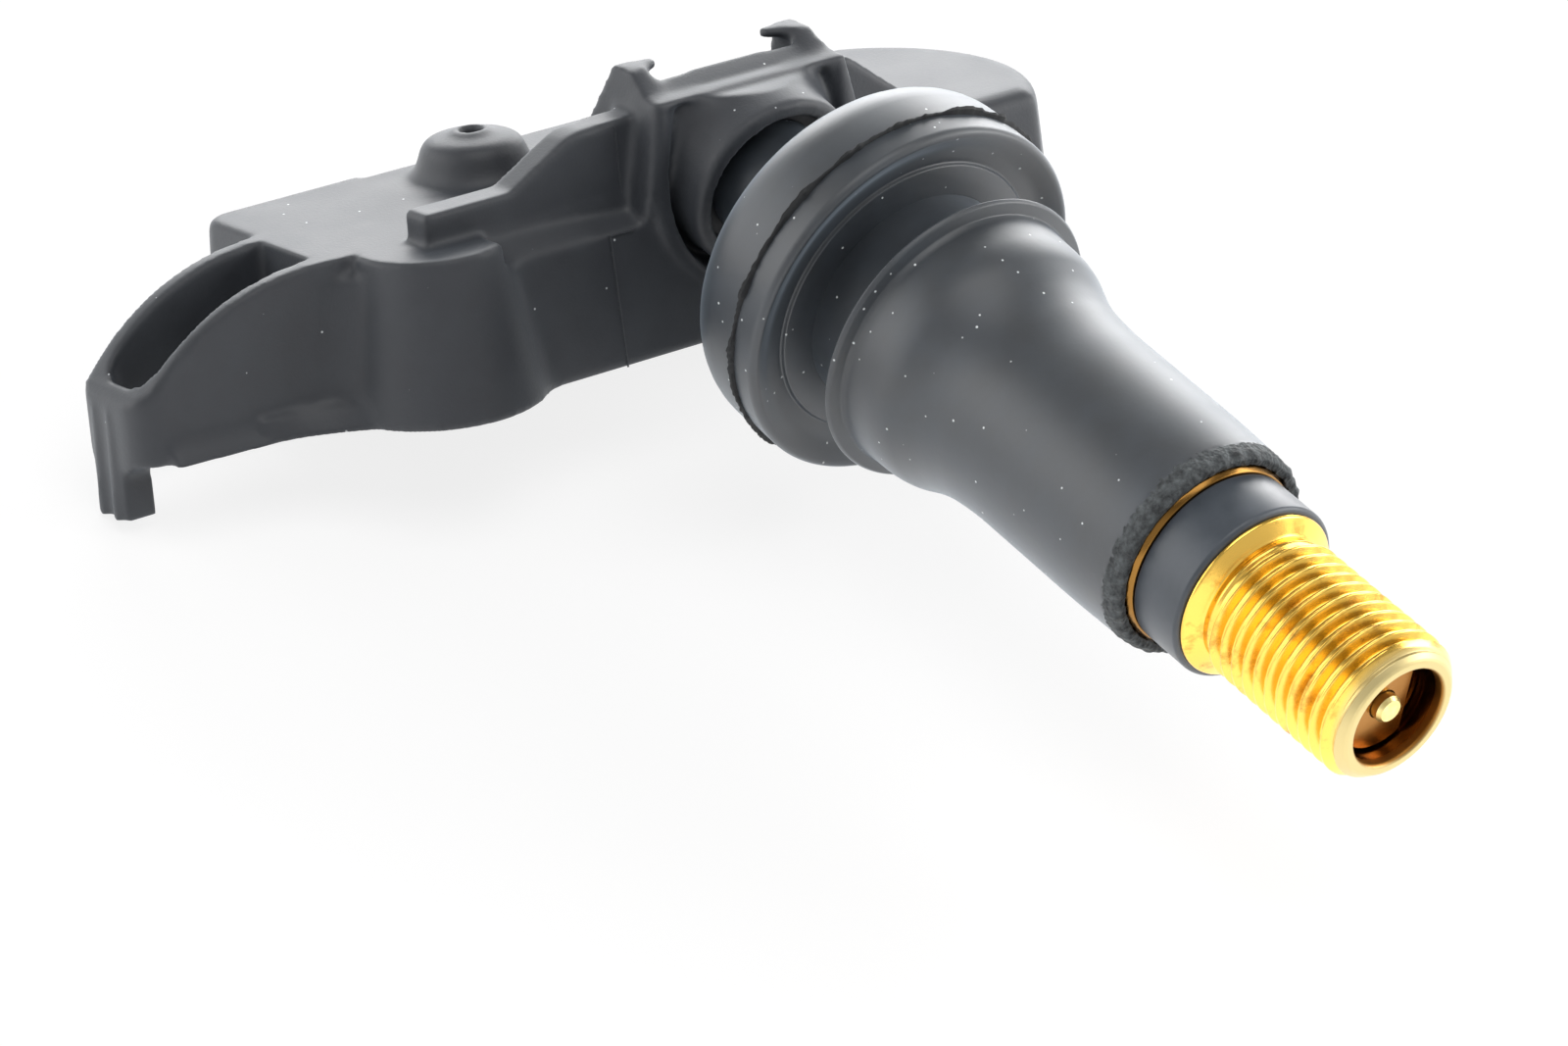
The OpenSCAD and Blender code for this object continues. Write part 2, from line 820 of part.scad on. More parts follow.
// Brass tube: keyed back end, collar, thread and mouth
module stem_tube() {
    chamfer = 0.7;
    color(brass)
    on_stem()
        difference() {
            union() {
                keyed_end(0);
                rod(cup_floor + 0.4, tail_end + eps, tail_r, tail_r);
                rod(tail_end, rubber_end, tube_r, tube_r);
                rod(rubber_end - collar_t + collar_out, sleeve_from, collar_r, collar_r);
                rod(sleeve_from - eps, sleeve_to + eps, sleeve_r - 0.9, sleeve_r - 0.9);
                rod(sleeve_to, sleeve_to + relief_len, sleeve_r - 0.3, cap_thread_r - 0.38);
                rod(sleeve_to, thread_from + eps, cap_thread_r - 0.38, cap_thread_r - 0.38);
                rod(thread_from, thread_to, cap_thread_r, cap_thread_r);
                rod(thread_to - eps, tip_s, cap_thread_r, cap_thread_r - chamfer);
            }
            rod(air_back, tip_s, air_r, air_r);
            rod(core_bore_end, tip_s, core_bore_r, core_bore_r);
            rod(mouth_floor - seat_cone, mouth_floor + eps, core_bore_r, mouth_r);
            rod(mouth_floor, tip_s + 1, mouth_r, mouth_r);
            rod(tube_back - 1, screw_tip + 0.3, screw_r + screw_gap, screw_r + screw_gap);
            air_hole();
        }
}

module stem_sleeve() {
    color([0.12, 0.13, 0.16])
    on_stem()
        ring(sleeve_from, sleeve_to, sleeve_r, sleeve_r - 0.9);
}

// Threaded plug with a slotted driving tang
module core_swivel() {
    plug_r = mouth_r - 0.05;
    tang_h = 1.6;
    tang_w = 1.5;
    color(brass)
    on_stem()
        difference() {
            union() {
                rod(swivel_low, swivel_top - tang_h, plug_r, plug_r);
                intersection() {
                    rod(swivel_low, swivel_top, plug_r - 0.15, plug_r - 0.15);
                    block([-tang_w, -9, swivel_low], [tang_w, 9, swivel_top]);
                }
            }
            rod(swivel_low - 1, swivel_top + 1, guide_r, guide_r);
            for (x = [-1, 1])
                translate([x * (plug_r - 0.2), 0, 0])
                    rod(swivel_low - 1, swivel_top + 1, 0.45, 0.45);
        }
}

module core_barrel() {
    lip_t = 0.6;
    color(brass)
    on_stem()
        difference() {
            rod(barrel_back, swivel_low, barrel_wall_r, barrel_wall_r);
            rod(barrel_back + lip_t, swivel_low + 1, barrel_bore_r, barrel_bore_r);
            rod(barrel_back - lip_t, barrel_back + 2 * lip_t, guide_r + 0.2, guide_r + 0.2);
            ring(gasket_low, gasket_low + core_gasket_t, mouth_r, barrel_wall_r - gasket_groove);
        }
}

// Sealing ring on the barrel, in the tube's conical seat
module core_gasket() {
    color([0.86, 0.84, 0.78])
    on_stem()
        difference() {
            intersection() {
                rod(gasket_low, gasket_low + core_gasket_t, mouth_r, mouth_r);
                rod(gasket_low, mouth_floor, core_bore_r - gasket_play, mouth_r - gasket_play);
            }
            rod(gasket_low - eps, mouth_floor, barrel_wall_r - gasket_groove, barrel_wall_r - gasket_groove);
        }
}

module core_pin() {
    pin_top = tip_s - pin_below;
    collar_at = swivel_low - 0.6;
    color(brass)
    on_stem() {
        rod(pin_low, pin_top - 0.2, pin_r, pin_r);
        rod(pin_top - 0.2, pin_top, pin_r, pin_r - 0.15);
        rod(collar_at, collar_at + 0.4, barrel_bore_r - 0.15, barrel_bore_r - 0.15);
    }
}

// Cup at the pin's inner end that carries the seal
module core_cup() {
    color(brass)
    on_stem()
        difference() {
            rod(cup_low, barrel_back - 0.15, cup_r, cup_r);
            rod(barrel_back - seal_t - 0.05, barrel_back + 1, cup_r - cup_wall, cup_r - cup_wall);
            rod(cup_low - 1, barrel_back + 1, pin_r, pin_r);
        }
}

module core_seal() {
    color([0.1, 0.1, 0.1])
    on_stem()
        ring(barrel_back - seal_t - 0.05, barrel_back - 0.05, cup_r - cup_wall, pin_r);
}

// Points of a round wire wound as a helix, ring by ring
function spring_point(i, j) =
    let (t = 360 * i / per_turn,
         rise = (spring_top - spring_low - 2 * wire_r) * i / (per_turn * spring_turns),
         q = 360 * j / wire_sides,
         r = spring_r + wire_r * cos(q))
    [r * cos(t), r * sin(t), spring_low + wire_r + rise + wire_r * sin(q)];

module core_spring() {
    rings = per_turn * spring_turns;
    color(steel)
    on_stem()
        polyhedron(
            points = [for (i = [0:rings], j = [0:wire_sides - 1]) spring_point(i, j)],
            faces = concat(
                [[for (j = [0:wire_sides - 1]) j]],
                [for (i = [0:rings - 1], j = [0:wire_sides - 1])
                    let (k = (j + 1) % wire_sides, a = i * wire_sides, b = a + wire_sides)
                    [a + j, b + j, b + k, a + k]],
                [[for (j = [wire_sides - 1:-1:0]) rings * wire_sides + j]]));
}

// Screw from behind the bracket into the tube, with a six-lobed recess
module mounting_screw() {
    under_head = washer_seat - washer_t;
    drive_r = 0.95;
    color(steel)
    on_stem()
        difference() {
            union() {
                rod(under_head, screw_tip, screw_r, screw_r);
                rod(under_head - head_h, under_head, head_r - 0.35, head_r);
            }
            translate([0, 0, under_head - head_h - 1])
                linear_extrude(2.1) {
                    circle(r = drive_r);
                    for (i = [0:5])
                        rotate(60 * i)
                            translate([drive_r, 0])
                                circle(r = 0.38, $fn = 24);
                }
        }
}

module screw_washer() {
    color(steel)
    on_stem()
        ring(washer_seat - washer_t, washer_seat, washer_r, screw_r + 0.1);
}

housing();
potting();
circuit_board();
coin_cell();
cell_tab_top();
cell_tab_bottom();
sensor_chip();
port_gasket();
port_filter();
wake_coil_core();
wake_coil_winding();
radio_antenna();
radio_chip();
crystal();
chip_capacitors();
rubber_body();
stem_tube();
stem_sleeve();
core_swivel();
core_barrel();
core_gasket();
core_pin();
core_cup();
core_seal();
core_spring();
mounting_screw();
screw_washer();
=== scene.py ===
"""Tyre pressure sensor on a snap-in valve stem: finishes, turned and moulded detail, and studio."""

import json
import math
import random

import bmesh
import bpy
from bpy.props import FloatProperty, IntProperty, PointerProperty, StringProperty
from mathutils import Matrix, Vector, noise


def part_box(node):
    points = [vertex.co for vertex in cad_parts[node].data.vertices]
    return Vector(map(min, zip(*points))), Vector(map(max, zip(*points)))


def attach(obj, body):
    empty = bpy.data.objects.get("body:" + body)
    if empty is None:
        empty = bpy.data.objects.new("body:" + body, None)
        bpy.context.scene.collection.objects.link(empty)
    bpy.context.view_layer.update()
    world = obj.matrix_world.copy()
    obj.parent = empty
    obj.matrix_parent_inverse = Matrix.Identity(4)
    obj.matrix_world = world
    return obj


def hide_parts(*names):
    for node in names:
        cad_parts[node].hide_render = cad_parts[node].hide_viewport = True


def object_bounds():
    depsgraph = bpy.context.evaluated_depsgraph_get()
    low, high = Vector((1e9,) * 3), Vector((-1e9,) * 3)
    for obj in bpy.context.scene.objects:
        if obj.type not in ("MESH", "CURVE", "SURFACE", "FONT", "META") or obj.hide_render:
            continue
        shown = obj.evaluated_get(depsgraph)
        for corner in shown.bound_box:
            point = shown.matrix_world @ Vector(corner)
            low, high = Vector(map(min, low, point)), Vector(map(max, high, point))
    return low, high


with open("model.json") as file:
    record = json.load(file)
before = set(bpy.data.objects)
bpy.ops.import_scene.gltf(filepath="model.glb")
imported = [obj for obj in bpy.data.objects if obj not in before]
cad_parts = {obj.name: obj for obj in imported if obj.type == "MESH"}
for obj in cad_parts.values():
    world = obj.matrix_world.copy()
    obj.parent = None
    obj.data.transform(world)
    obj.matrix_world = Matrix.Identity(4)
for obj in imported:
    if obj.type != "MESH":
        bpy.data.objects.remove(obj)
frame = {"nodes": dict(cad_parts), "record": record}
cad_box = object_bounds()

bl_info = {
    "name": "Tyre pressure sensor",
    "version": (1, 0, 0),
    "blender": (4, 5, 0),
    "location": "View3D > Sidebar > Sensor",
    "description": "Builds the looks of a tyre pressure sensor on a rubber valve stem",
    "category": "Object",
}

MM = 0.001
BODY = "sensor"
MOUNTS = {mount["name"]: mount for mount in frame["record"]["mounts"]}
NECK_R = MOUNTS["rim_seat"]["dims"]["r_mm"]
NECK_LEN = MOUNTS["rim_seat"]["dims"]["length_mm"]
THREAD_R = MOUNTS["cap_thread"]["dims"]["r_mm"]
THREAD_LEN = MOUNTS["cap_thread"]["dims"]["length_mm"]

# Stations run along the stem in mm, from the bulb's flash line at 0 to the tip
NECK_FROM = 1.3
SEAT = NECK_FROM + NECK_LEN / 2
THREAD_FROM = SEAT - MOUNTS["cap_thread"]["pos_m"][1] / MM - THREAD_LEN / 2
TILT = math.radians(20)


def station_of(y):
    """Station in mm of a frame Y in metres."""
    return SEAT - y / MM


def stations(node):
    """Lowest and highest station of a node."""
    low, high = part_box(node)
    return station_of(high[1]), station_of(low[1])


TIP = stations("stem_tube")[1]
TUBE_BACK = stations("stem_tube")[0]
TUBE_R = 3.6
TAIL_R, TAIL_TO = 2.7, -4.4
RUBBER_BACK, RUBBER_END = stations("rubber_body")
SLEEVE_FROM, SLEEVE_TO = stations("stem_sleeve")
SLEEVE_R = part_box("stem_sleeve")[1][0] / MM
COLLAR_FROM = RUBBER_END - 0.9
COLLAR_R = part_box("stem_tube")[1][0] / MM

# The housing's own axes, in mm: x along it, y back from the stem and z up, with the body between
# BASE and TOP. Its front wall stands at WALL_Y, and leans out to WALL_FOOT_Y at the base.
TOP, BASE = 4.0, -4.3
WALL_Y, WALL_FOOT_Y, WALL_EDGE_Y = 10.9, 10.47, 10.83
ARM_WALL_Y, GUSSET_Y = 14.5, 12.2
FILLET_R = 2.6
DOME = Vector((-10.0, 21.6))

# The lobe's centre, its outer radius at the foot and at the top, and its wall
LOBE = Vector((-18.1, 13.7))
LOBE_R, LOBE_TOP_R, LOBE_WALL = 5.38, 3.95, 1.6

# Heights where the fillets beside the lobe end, on its right and on its left
FILLET_TOP, ARM_FILLET_TOP = 2.7, 3.1

# The flare along the lobe's foot: x, then y at the base and at the flare's top
FLARE_TOP = BASE + 1.3
FLARE_BACK_Y, FLARE_END_X = 15.1, -22.0
FLARE = ((-22.4, 10.9, 11.3), (-23.0, 11.8, 12.4), (-23.8, 12.35, 13.2), (-24.6, 12.85, 13.8),
         (-25.5, 13.35, 14.25), (-26.4, 13.75, 14.45), (-27.3, 14.1, 14.5), (-28.2, 14.45, 14.55))

# The sloping ledge in front of the gusset: its ends in x, and its height at the edge and at the foot
LEDGE_FROM_X, LEDGE_TO_X = -15.9, -7.05
LEDGE_EDGE, LEDGE_FOOT, LEDGE_FALL = 2.65, 3.75, 0.35

# Ends of the fine lines where the parts of the housing's tool met
MOULD_LINES = (((-9.25, WALL_EDGE_Y, 2.6), (-9.1, WALL_FOOT_Y, BASE + 0.05)),
               ((-9.25, WALL_EDGE_Y, 2.6), (-7.8, WALL_EDGE_Y, 2.58)),
               ((-7.5, GUSSET_Y, 7.6), (-7.42, GUSSET_Y, 3.6)))
MOULD_LINE_R = 0.05


# Sizes and colours that a user would change

class BrassProps(bpy.types.PropertyGroup):
    pitch: FloatProperty(name="Thread pitch", description="Pitch of the cap thread",
                         default=0.794 * MM, min=0.5 * MM, max=1.2 * MM, unit="LENGTH", precision=6)
    depth: FloatProperty(name="Thread depth", description="Depth of the cap thread",
                         default=0.44 * MM, min=0.2 * MM, max=0.5 * MM, unit="LENGTH", precision=6)
    around: IntProperty(name="Steps around", description="Faces around the stem",
                        default=144, min=48, max=256)
    colour: StringProperty(name="Brass", description="Brass colour as sRGB hex", default="#e9be5a")


class RubberProps(bpy.types.PropertyGroup):
    around: IntProperty(name="Steps around", description="Faces around the rubber",
                        default=240, min=64, max=400)
    flash: FloatProperty(name="Flash height", description="Most that the torn flash stands out",
                         default=0.24 * MM, min=0, max=0.5 * MM, unit="LENGTH", precision=6)
    rough: FloatProperty(name="Cut roughness", description="Depth of the rough cut at the end",
                         default=0.11 * MM, min=0, max=0.3 * MM, unit="LENGTH", precision=6)
    seed: IntProperty(name="Seed", description="Seed of the torn edges", default=7, min=0)
    colour: StringProperty(name="Rubber", description="Rubber colour as sRGB hex", default="#1d2228")


class HousingProps(bpy.types.PropertyGroup):
    voxel: FloatProperty(name="Edge size", description="Size that the moulding's edges are rounded at",
                         default=0.17 * MM, min=0.1 * MM, max=0.5 * MM, unit="LENGTH", precision=6)
    keep: FloatProperty(name="Faces kept", description="Share of the moulding's faces that is kept",
                        default=0.3, min=0.05, max=1)
    colour: StringProperty(name="Housing", description="Plastic colour as sRGB hex", default="#2a2c31")


class StageProps(bpy.types.PropertyGroup):
    lens: FloatProperty(name="Lens", description="Focal length of the camera in millimetres",
                        default=135.0, min=35, max=300)
    world: FloatProperty(name="Fill", description="Strength of the even light from all around",
                         default=0.4, min=0, max=2)
    key: FloatProperty(name="Key light", description="Power of the main soft light in watts",
                       default=0.9, min=0, max=10)


# Node trees

def to_linear(colour):
    """Linear RGBA of an sRGB hex colour."""
    parts = [int(colour[i:i + 2], 16) / 255 for i in (1, 3, 5)]
    return [c / 12.92 if c <= 0.04045 else ((c + 0.055) / 1.055) ** 2.4 for c in parts] + [1.0]


def add_node(tree, kind, values=None, links=None, **settings):
    """Adds a node, sets it up, and links sockets of earlier nodes into it."""
    node = tree.nodes.new(kind)
    for name, value in settings.items():
        setattr(node, name, value)
    for socket, value in (values or {}).items():
        node.inputs[socket].default_value = value
    for socket, source in (links or {}).items():
        tree.links.new(source, node.inputs[socket])
    return node


def new_material(name):
    """Empty node material, with its tree and the place in metres of each surface point."""
    material = bpy.data.materials.new(name)
    material.use_nodes = True
    tree = material.node_tree
    tree.nodes.clear()
    place = add_node(tree, "ShaderNodeTexCoord").outputs["Object"]
    return material, tree, place


def finish(tree, shader):
    """Links a shader to a material's output."""
    add_node(tree, "ShaderNodeOutputMaterial", links={"Surface": shader.outputs[0]})


def grain(tree, place, size, detail=2.0, rough=0.5):
    """Noise whose lumps are about size metres across."""
    return add_node(tree, "ShaderNodeTexNoise", {"Scale": 1 / size, "Detail": detail, "Roughness": rough},
                    {"Vector": place})


def span(tree, source, low, high, to_low=0.0, to_high=1.0):
    """Maps low..high to to_low..to_high, clamped."""
    return add_node(tree, "ShaderNodeMapRange", {"From Min": low, "From Max": high, "To Min": to_low,
                                                 "To Max": to_high}, {"Value": source}).outputs["Result"]


def blend_colours(tree, factor, first, second):
    """Mixes two colours, each a hex text or a socket."""
    mix = add_node(tree, "ShaderNodeMix", data_type="RGBA", links={"Factor": factor})
    for socket, colour in ((6, first), (7, second)):
        if isinstance(colour, str):
            mix.inputs[socket].default_value = to_linear(colour)
        else:
            tree.links.new(colour, mix.inputs[socket])
    return mix.outputs[2]


def bumped(tree, height, depth, normal=None):
    """Normal of a bump of depth metres, on top of another normal where one is given."""
    links = {"Height": height}
    if normal:
        links["Normal"] = normal
    return add_node(tree, "ShaderNodeBump", {"Strength": 1.0, "Distance": depth}, links).outputs["Normal"]


def dust(tree, place, spacing, size, amount):
    """1 on small specks of dust: one cell in a few holds a speck near its middle."""
    cells = add_node(tree, "ShaderNodeTexVoronoi", {"Scale": 1 / spacing}, {"Vector": place})
    speck = span(tree, cells.outputs["Distance"], size / spacing, 0.6 * size / spacing)
    chosen = add_node(tree, "ShaderNodeSeparateColor", links={"Color": cells.outputs["Color"]})
    pick = span(tree, chosen.outputs["Red"], amount, amount - 0.02)
    return add_node(tree, "ShaderNodeMath", operation="MULTIPLY", links={0: speck, 1: pick}).outputs[0]


def moulded_nylon(colour):
    """Glass-filled nylon, moulded in a spark-eroded tool: matt and a little grey, with a fine even
    grain that breaks up its gloss, and a little dust."""
    material, tree, place = new_material("moulded_nylon")
    mottle = grain(tree, place, 3.5 * MM, 4, 0.6)
    fine = grain(tree, place, 0.16 * MM, 3, 0.6)
    tone = blend_colours(tree, span(tree, mottle.outputs["Fac"], 0.3, 0.75), colour, "#32353a")
    specks = dust(tree, place, 1.3 * MM, 0.07 * MM, 0.5)
    tone = blend_colours(tree, specks, tone, "#c9cdcf")
    edges = add_node(tree, "ShaderNodeBevel", {"Radius": 0.18 * MM}, samples=4)
    normal = bumped(tree, fine.outputs["Fac"], 0.012 * MM, edges.outputs["Normal"])
    shader = add_node(tree, "ShaderNodeBsdfPrincipled",
                      {"Sheen Weight": 0.12, "Sheen Roughness": 0.5, "Sheen Tint": to_linear("#d5e2ee")},
                      {"Base Color": tone, "Normal": normal,
                       "Roughness": span(tree, mottle.outputs["Fac"], 0.3, 0.7, 0.5, 0.56)})
    finish(tree, shader)
    return material


def vulcanised_rubber(colour):
    """EPDM moulded in a polished tool: deep grey-black with a soft satin gloss, a faint bloom in
    patches, and bright specks of dust."""
    material, tree, place = new_material("vulcanised_rubber")
    bloom = grain(tree, place, 5 * MM, 5, 0.62)
    skin = grain(tree, place, 0.35 * MM, 3, 0.55)
    tone = blend_colours(tree, span(tree, bloom.outputs["Fac"], 0.38, 0.72), colour, "#2b323a")
    specks = dust(tree, place, 1.0 * MM, 0.075 * MM, 1.0)
    tone = blend_colours(tree, specks, tone, "#dfe3e4")
    normal = bumped(tree, skin.outputs["Fac"], 0.006 * MM)
    shader = add_node(tree, "ShaderNodeBsdfPrincipled",
                      {"IOR": 1.52, "Coat Weight": 0.6, "Coat Roughness": 0.45, "Sheen Weight": 0.4,
                       "Sheen Roughness": 0.35, "Sheen Tint": to_linear("#cfe0f0")},
                      {"Base Color": tone, "Normal": normal,
                       "Roughness": span(tree, bloom.outputs["Fac"], 0.3, 0.7, 0.46, 0.56)})
    finish(tree, shader)
    return material


def torn_rubber():
    """Rubber where it was cut or torn: rough crumbs that hold little light, with grey dust in them."""
    material, tree, place = new_material("torn_rubber")
    crumbs = add_node(tree, "ShaderNodeTexVoronoi", {"Scale": 1 / (0.22 * MM)}, {"Vector": place})
    lumps = grain(tree, place, 0.5 * MM, 6, 0.7)
    tone = blend_colours(tree, span(tree, lumps.outputs["Fac"], 0.35, 0.7), "#1a1c1e", "#5c6163")
    normal = bumped(tree, crumbs.outputs["Distance"], 0.06 * MM)
    shader = add_node(tree, "ShaderNodeBsdfPrincipled", {"Roughness": 0.75},
                      {"Base Color": tone, "Normal": normal})
    finish(tree, shader)
    return material


def turned_brass(colour):
    """Free-cutting brass, turned and bright-dipped: warm yellow with fine tool rings, brown stain in
    patches, painted shade in a darker brown inside the mouth and on the collar below the sleeve,
    and a duller, paler face where the tip was cut off."""
    material, tree, place = new_material("turned_brass")
    axes = add_node(tree, "ShaderNodeSeparateXYZ", links={"Vector": place}).outputs
    along = axes["Y"]
    across = add_node(tree, "ShaderNodeCombineXYZ", links={"X": axes["X"], "Y": axes["Z"]})
    radius = add_node(tree, "ShaderNodeVectorMath", operation="LENGTH",
                      links={0: across.outputs[0]}).outputs["Value"]
    tool_ring = 0.16 * MM
    rings = add_node(tree, "ShaderNodeTexWave", {"Scale": 0.5 / tool_ring / math.pi * 0.5,
                                                 "Distortion": 0.6, "Detail": 2.0},
                     {"Vector": place}, bands_direction="Y")
    stain = grain(tree, place, 1.6 * MM, 5, 0.65)
    tone = blend_colours(tree, span(tree, stain.outputs["Fac"], 0.55, 0.76), colour, "#a8722c")
    tip_face = span(tree, along, (SEAT - TIP + 0.75) * MM, (SEAT - TIP + 0.45) * MM)
    tone = blend_colours(tree, tip_face, tone, "#c6b581")
    # Painted shade: inside the mouth and the bore the brass is painted a darker brown
    mouth = span(tree, radius, 2.78 * MM, 2.66 * MM)
    tone = blend_colours(tree, mouth, tone, "#93652d")
    # Painted shade: the brass below the sleeve, between it and the rubber's end, is painted a darker brown
    painted_shade_below_sleeve = span(tree, along, (SEAT - SLEEVE_FROM - 0.1) * MM, (SEAT - SLEEVE_FROM) * MM)
    tone = blend_colours(tree, painted_shade_below_sleeve, tone, "#84602f")
    wear = add_node(tree, "ShaderNodeMath", operation="MAXIMUM",
                    links={0: span(tree, stain.outputs["Fac"], 0.4, 0.75, 0.2, 0.3),
                           1: span(tree, tip_face, 0, 1, 0, 0.46)}).outputs[0]
    normal = bumped(tree, rings.outputs["Fac"], 0.0015 * MM)
    shader = add_node(tree, "ShaderNodeBsdfPrincipled", {"Metallic": 1.0},
                      {"Base Color": tone, "Roughness": wear, "Normal": normal})
    finish(tree, shader)
    return material


def plain_finish(name, colour, second, size, roughness, metallic=0.0, depth=0.003):
    """A finish of two close tones in lumps of size mm with a fine bump, for the small parts."""
    material, tree, place = new_material(name)
    lumps = grain(tree, place, size * MM, 4, 0.6)
    fine = grain(tree, place, size * 0.12 * MM, 3, 0.6)
    tone = blend_colours(tree, span(tree, lumps.outputs["Fac"], 0.3, 0.7), colour, second)
    shader = add_node(tree, "ShaderNodeBsdfPrincipled", {"Metallic": metallic},
                      {"Base Color": tone, "Normal": bumped(tree, fine.outputs["Fac"], depth * MM),
                       "Roughness": span(tree, lumps.outputs["Fac"], 0.3, 0.7, roughness,
                                         roughness + 0.1)})
    finish(tree, shader)
    return material


# Mesh helpers

def on_stem(station, across, up):
    """Point in the frame, in metres, of a station along the stem and two offsets, all in mm."""
    return Vector((across * MM, (SEAT - station) * MM, up * MM))


def in_housing(x, back, up):
    """Point in the frame, in metres, of a place in the housing's own tilted axes, in mm."""
    place = Matrix.Rotation(-TILT, 3, "X") @ Vector((x, back, up))
    return (place + Vector((0, SEAT, 0))) * MM


def rounded(corners, steps=4):
    """Outline through corners of (station, radius, reach), where reach is how far from the corner
    its rounding starts."""
    line = []
    for i, (station, radius, reach) in enumerate(corners):
        here = Vector((station, radius))
        before = Vector(corners[i - 1][:2]) - here
        after = Vector(corners[(i + 1) % len(corners)][:2]) - here
        reach = min(reach, before.length * 0.48, after.length * 0.48)
        if reach <= 0:
            line.append(here)
            continue
        start = here + before.normalized() * reach
        end = here + after.normalized() * reach
        for k in range(steps + 1):
            t = k / steps
            line.append(start * (1 - t) ** 2 + here * 2 * t * (1 - t) + end * t * t)
    return line


def dense(line, low, high, step, inner=0):
    """Adds points to a closed outline, no further than step apart, between two stations. Stretches
    within the inner radius stay as they are."""
    result = []
    for i, here in enumerate(line):
        after = line[(i + 1) % len(line)]
        result.append(here)
        if max(here.x, after.x) < low or min(here.x, after.x) > high or max(here.y, after.y) <= inner:
            continue
        count = math.ceil((after - here).length / step)
        between = [here.lerp(after, k / count) for k in range(1, count)]
        result += [place for place in between if low <= place.x <= high]
    return result


def new_object(name, bm, material, body=BODY, sharp=35):
    """Makes an object of a bmesh, smooth but for its sharp edges, and lets it ride on a body."""
    bmesh.ops.recalc_face_normals(bm, faces=bm.faces)
    for face in bm.faces:
        face.smooth = True
    for edge in bm.edges:
        edge.smooth = len(edge.link_faces) == 2 and edge.calc_face_angle() < math.radians(sharp)
    mesh = bpy.data.meshes.new(name)
    bm.to_mesh(mesh)
    bm.free()
    mesh.materials.append(material)
    piece = bpy.data.objects.new(name, mesh)
    bpy.context.scene.collection.objects.link(piece)
    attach(piece, body)
    return piece


def turned(outline, around, shape=None):
    """Turns a closed outline of (station, radius) in mm about the stem's axis. shape(station,
    radius, angle) may move each point."""
    bm = bmesh.new()
    rings = []
    for station, radius in outline:
        if radius == 0:
            rings.append([bm.verts.new(on_stem(station, 0, 0))] * around)
            continue
        ring = []
        for k in range(around):
            angle = 2 * math.pi * k / around
            s, r = shape(station, radius, angle) if shape else (station, radius)
            ring.append(bm.verts.new(on_stem(s, r * math.cos(angle), r * math.sin(angle))))
        rings.append(ring)
    for i, ring in enumerate(rings):
        after = rings[(i + 1) % len(rings)]
        for k in range(around):
            corners = [ring[k], ring[(k + 1) % around], after[(k + 1) % around], after[k]]
            face = list(dict.fromkeys(corners))
            if len(face) > 2:
                bm.faces.new(face)
    return bm


def ramp(value, low, high):
    """0 below low, 1 above high, straight between."""
    return min(max((value - low) / (high - low), 0), 1)


def ease(value, low, high):
    """0 below low, 1 above high, smooth between."""
    t = ramp(value, low, high)
    return t * t * (3 - 2 * t)


def lumpy(angle, station, size, seed):
    """Seamless noise around the stem, about -1..1, with lumps of about size mm at the bulb."""
    reach = 9 / size
    return noise.noise(Vector((reach * math.cos(angle), reach * math.sin(angle), station / size + seed)))


def ridge(turns):
    """Height of a thread at a place counted in turns: 0 in the root and 1 on the crest."""
    root_to, crest_from = 0.22, 0.88
    return ramp(abs(2 * (turns % 1) - 1), root_to, crest_from)


# Pieces

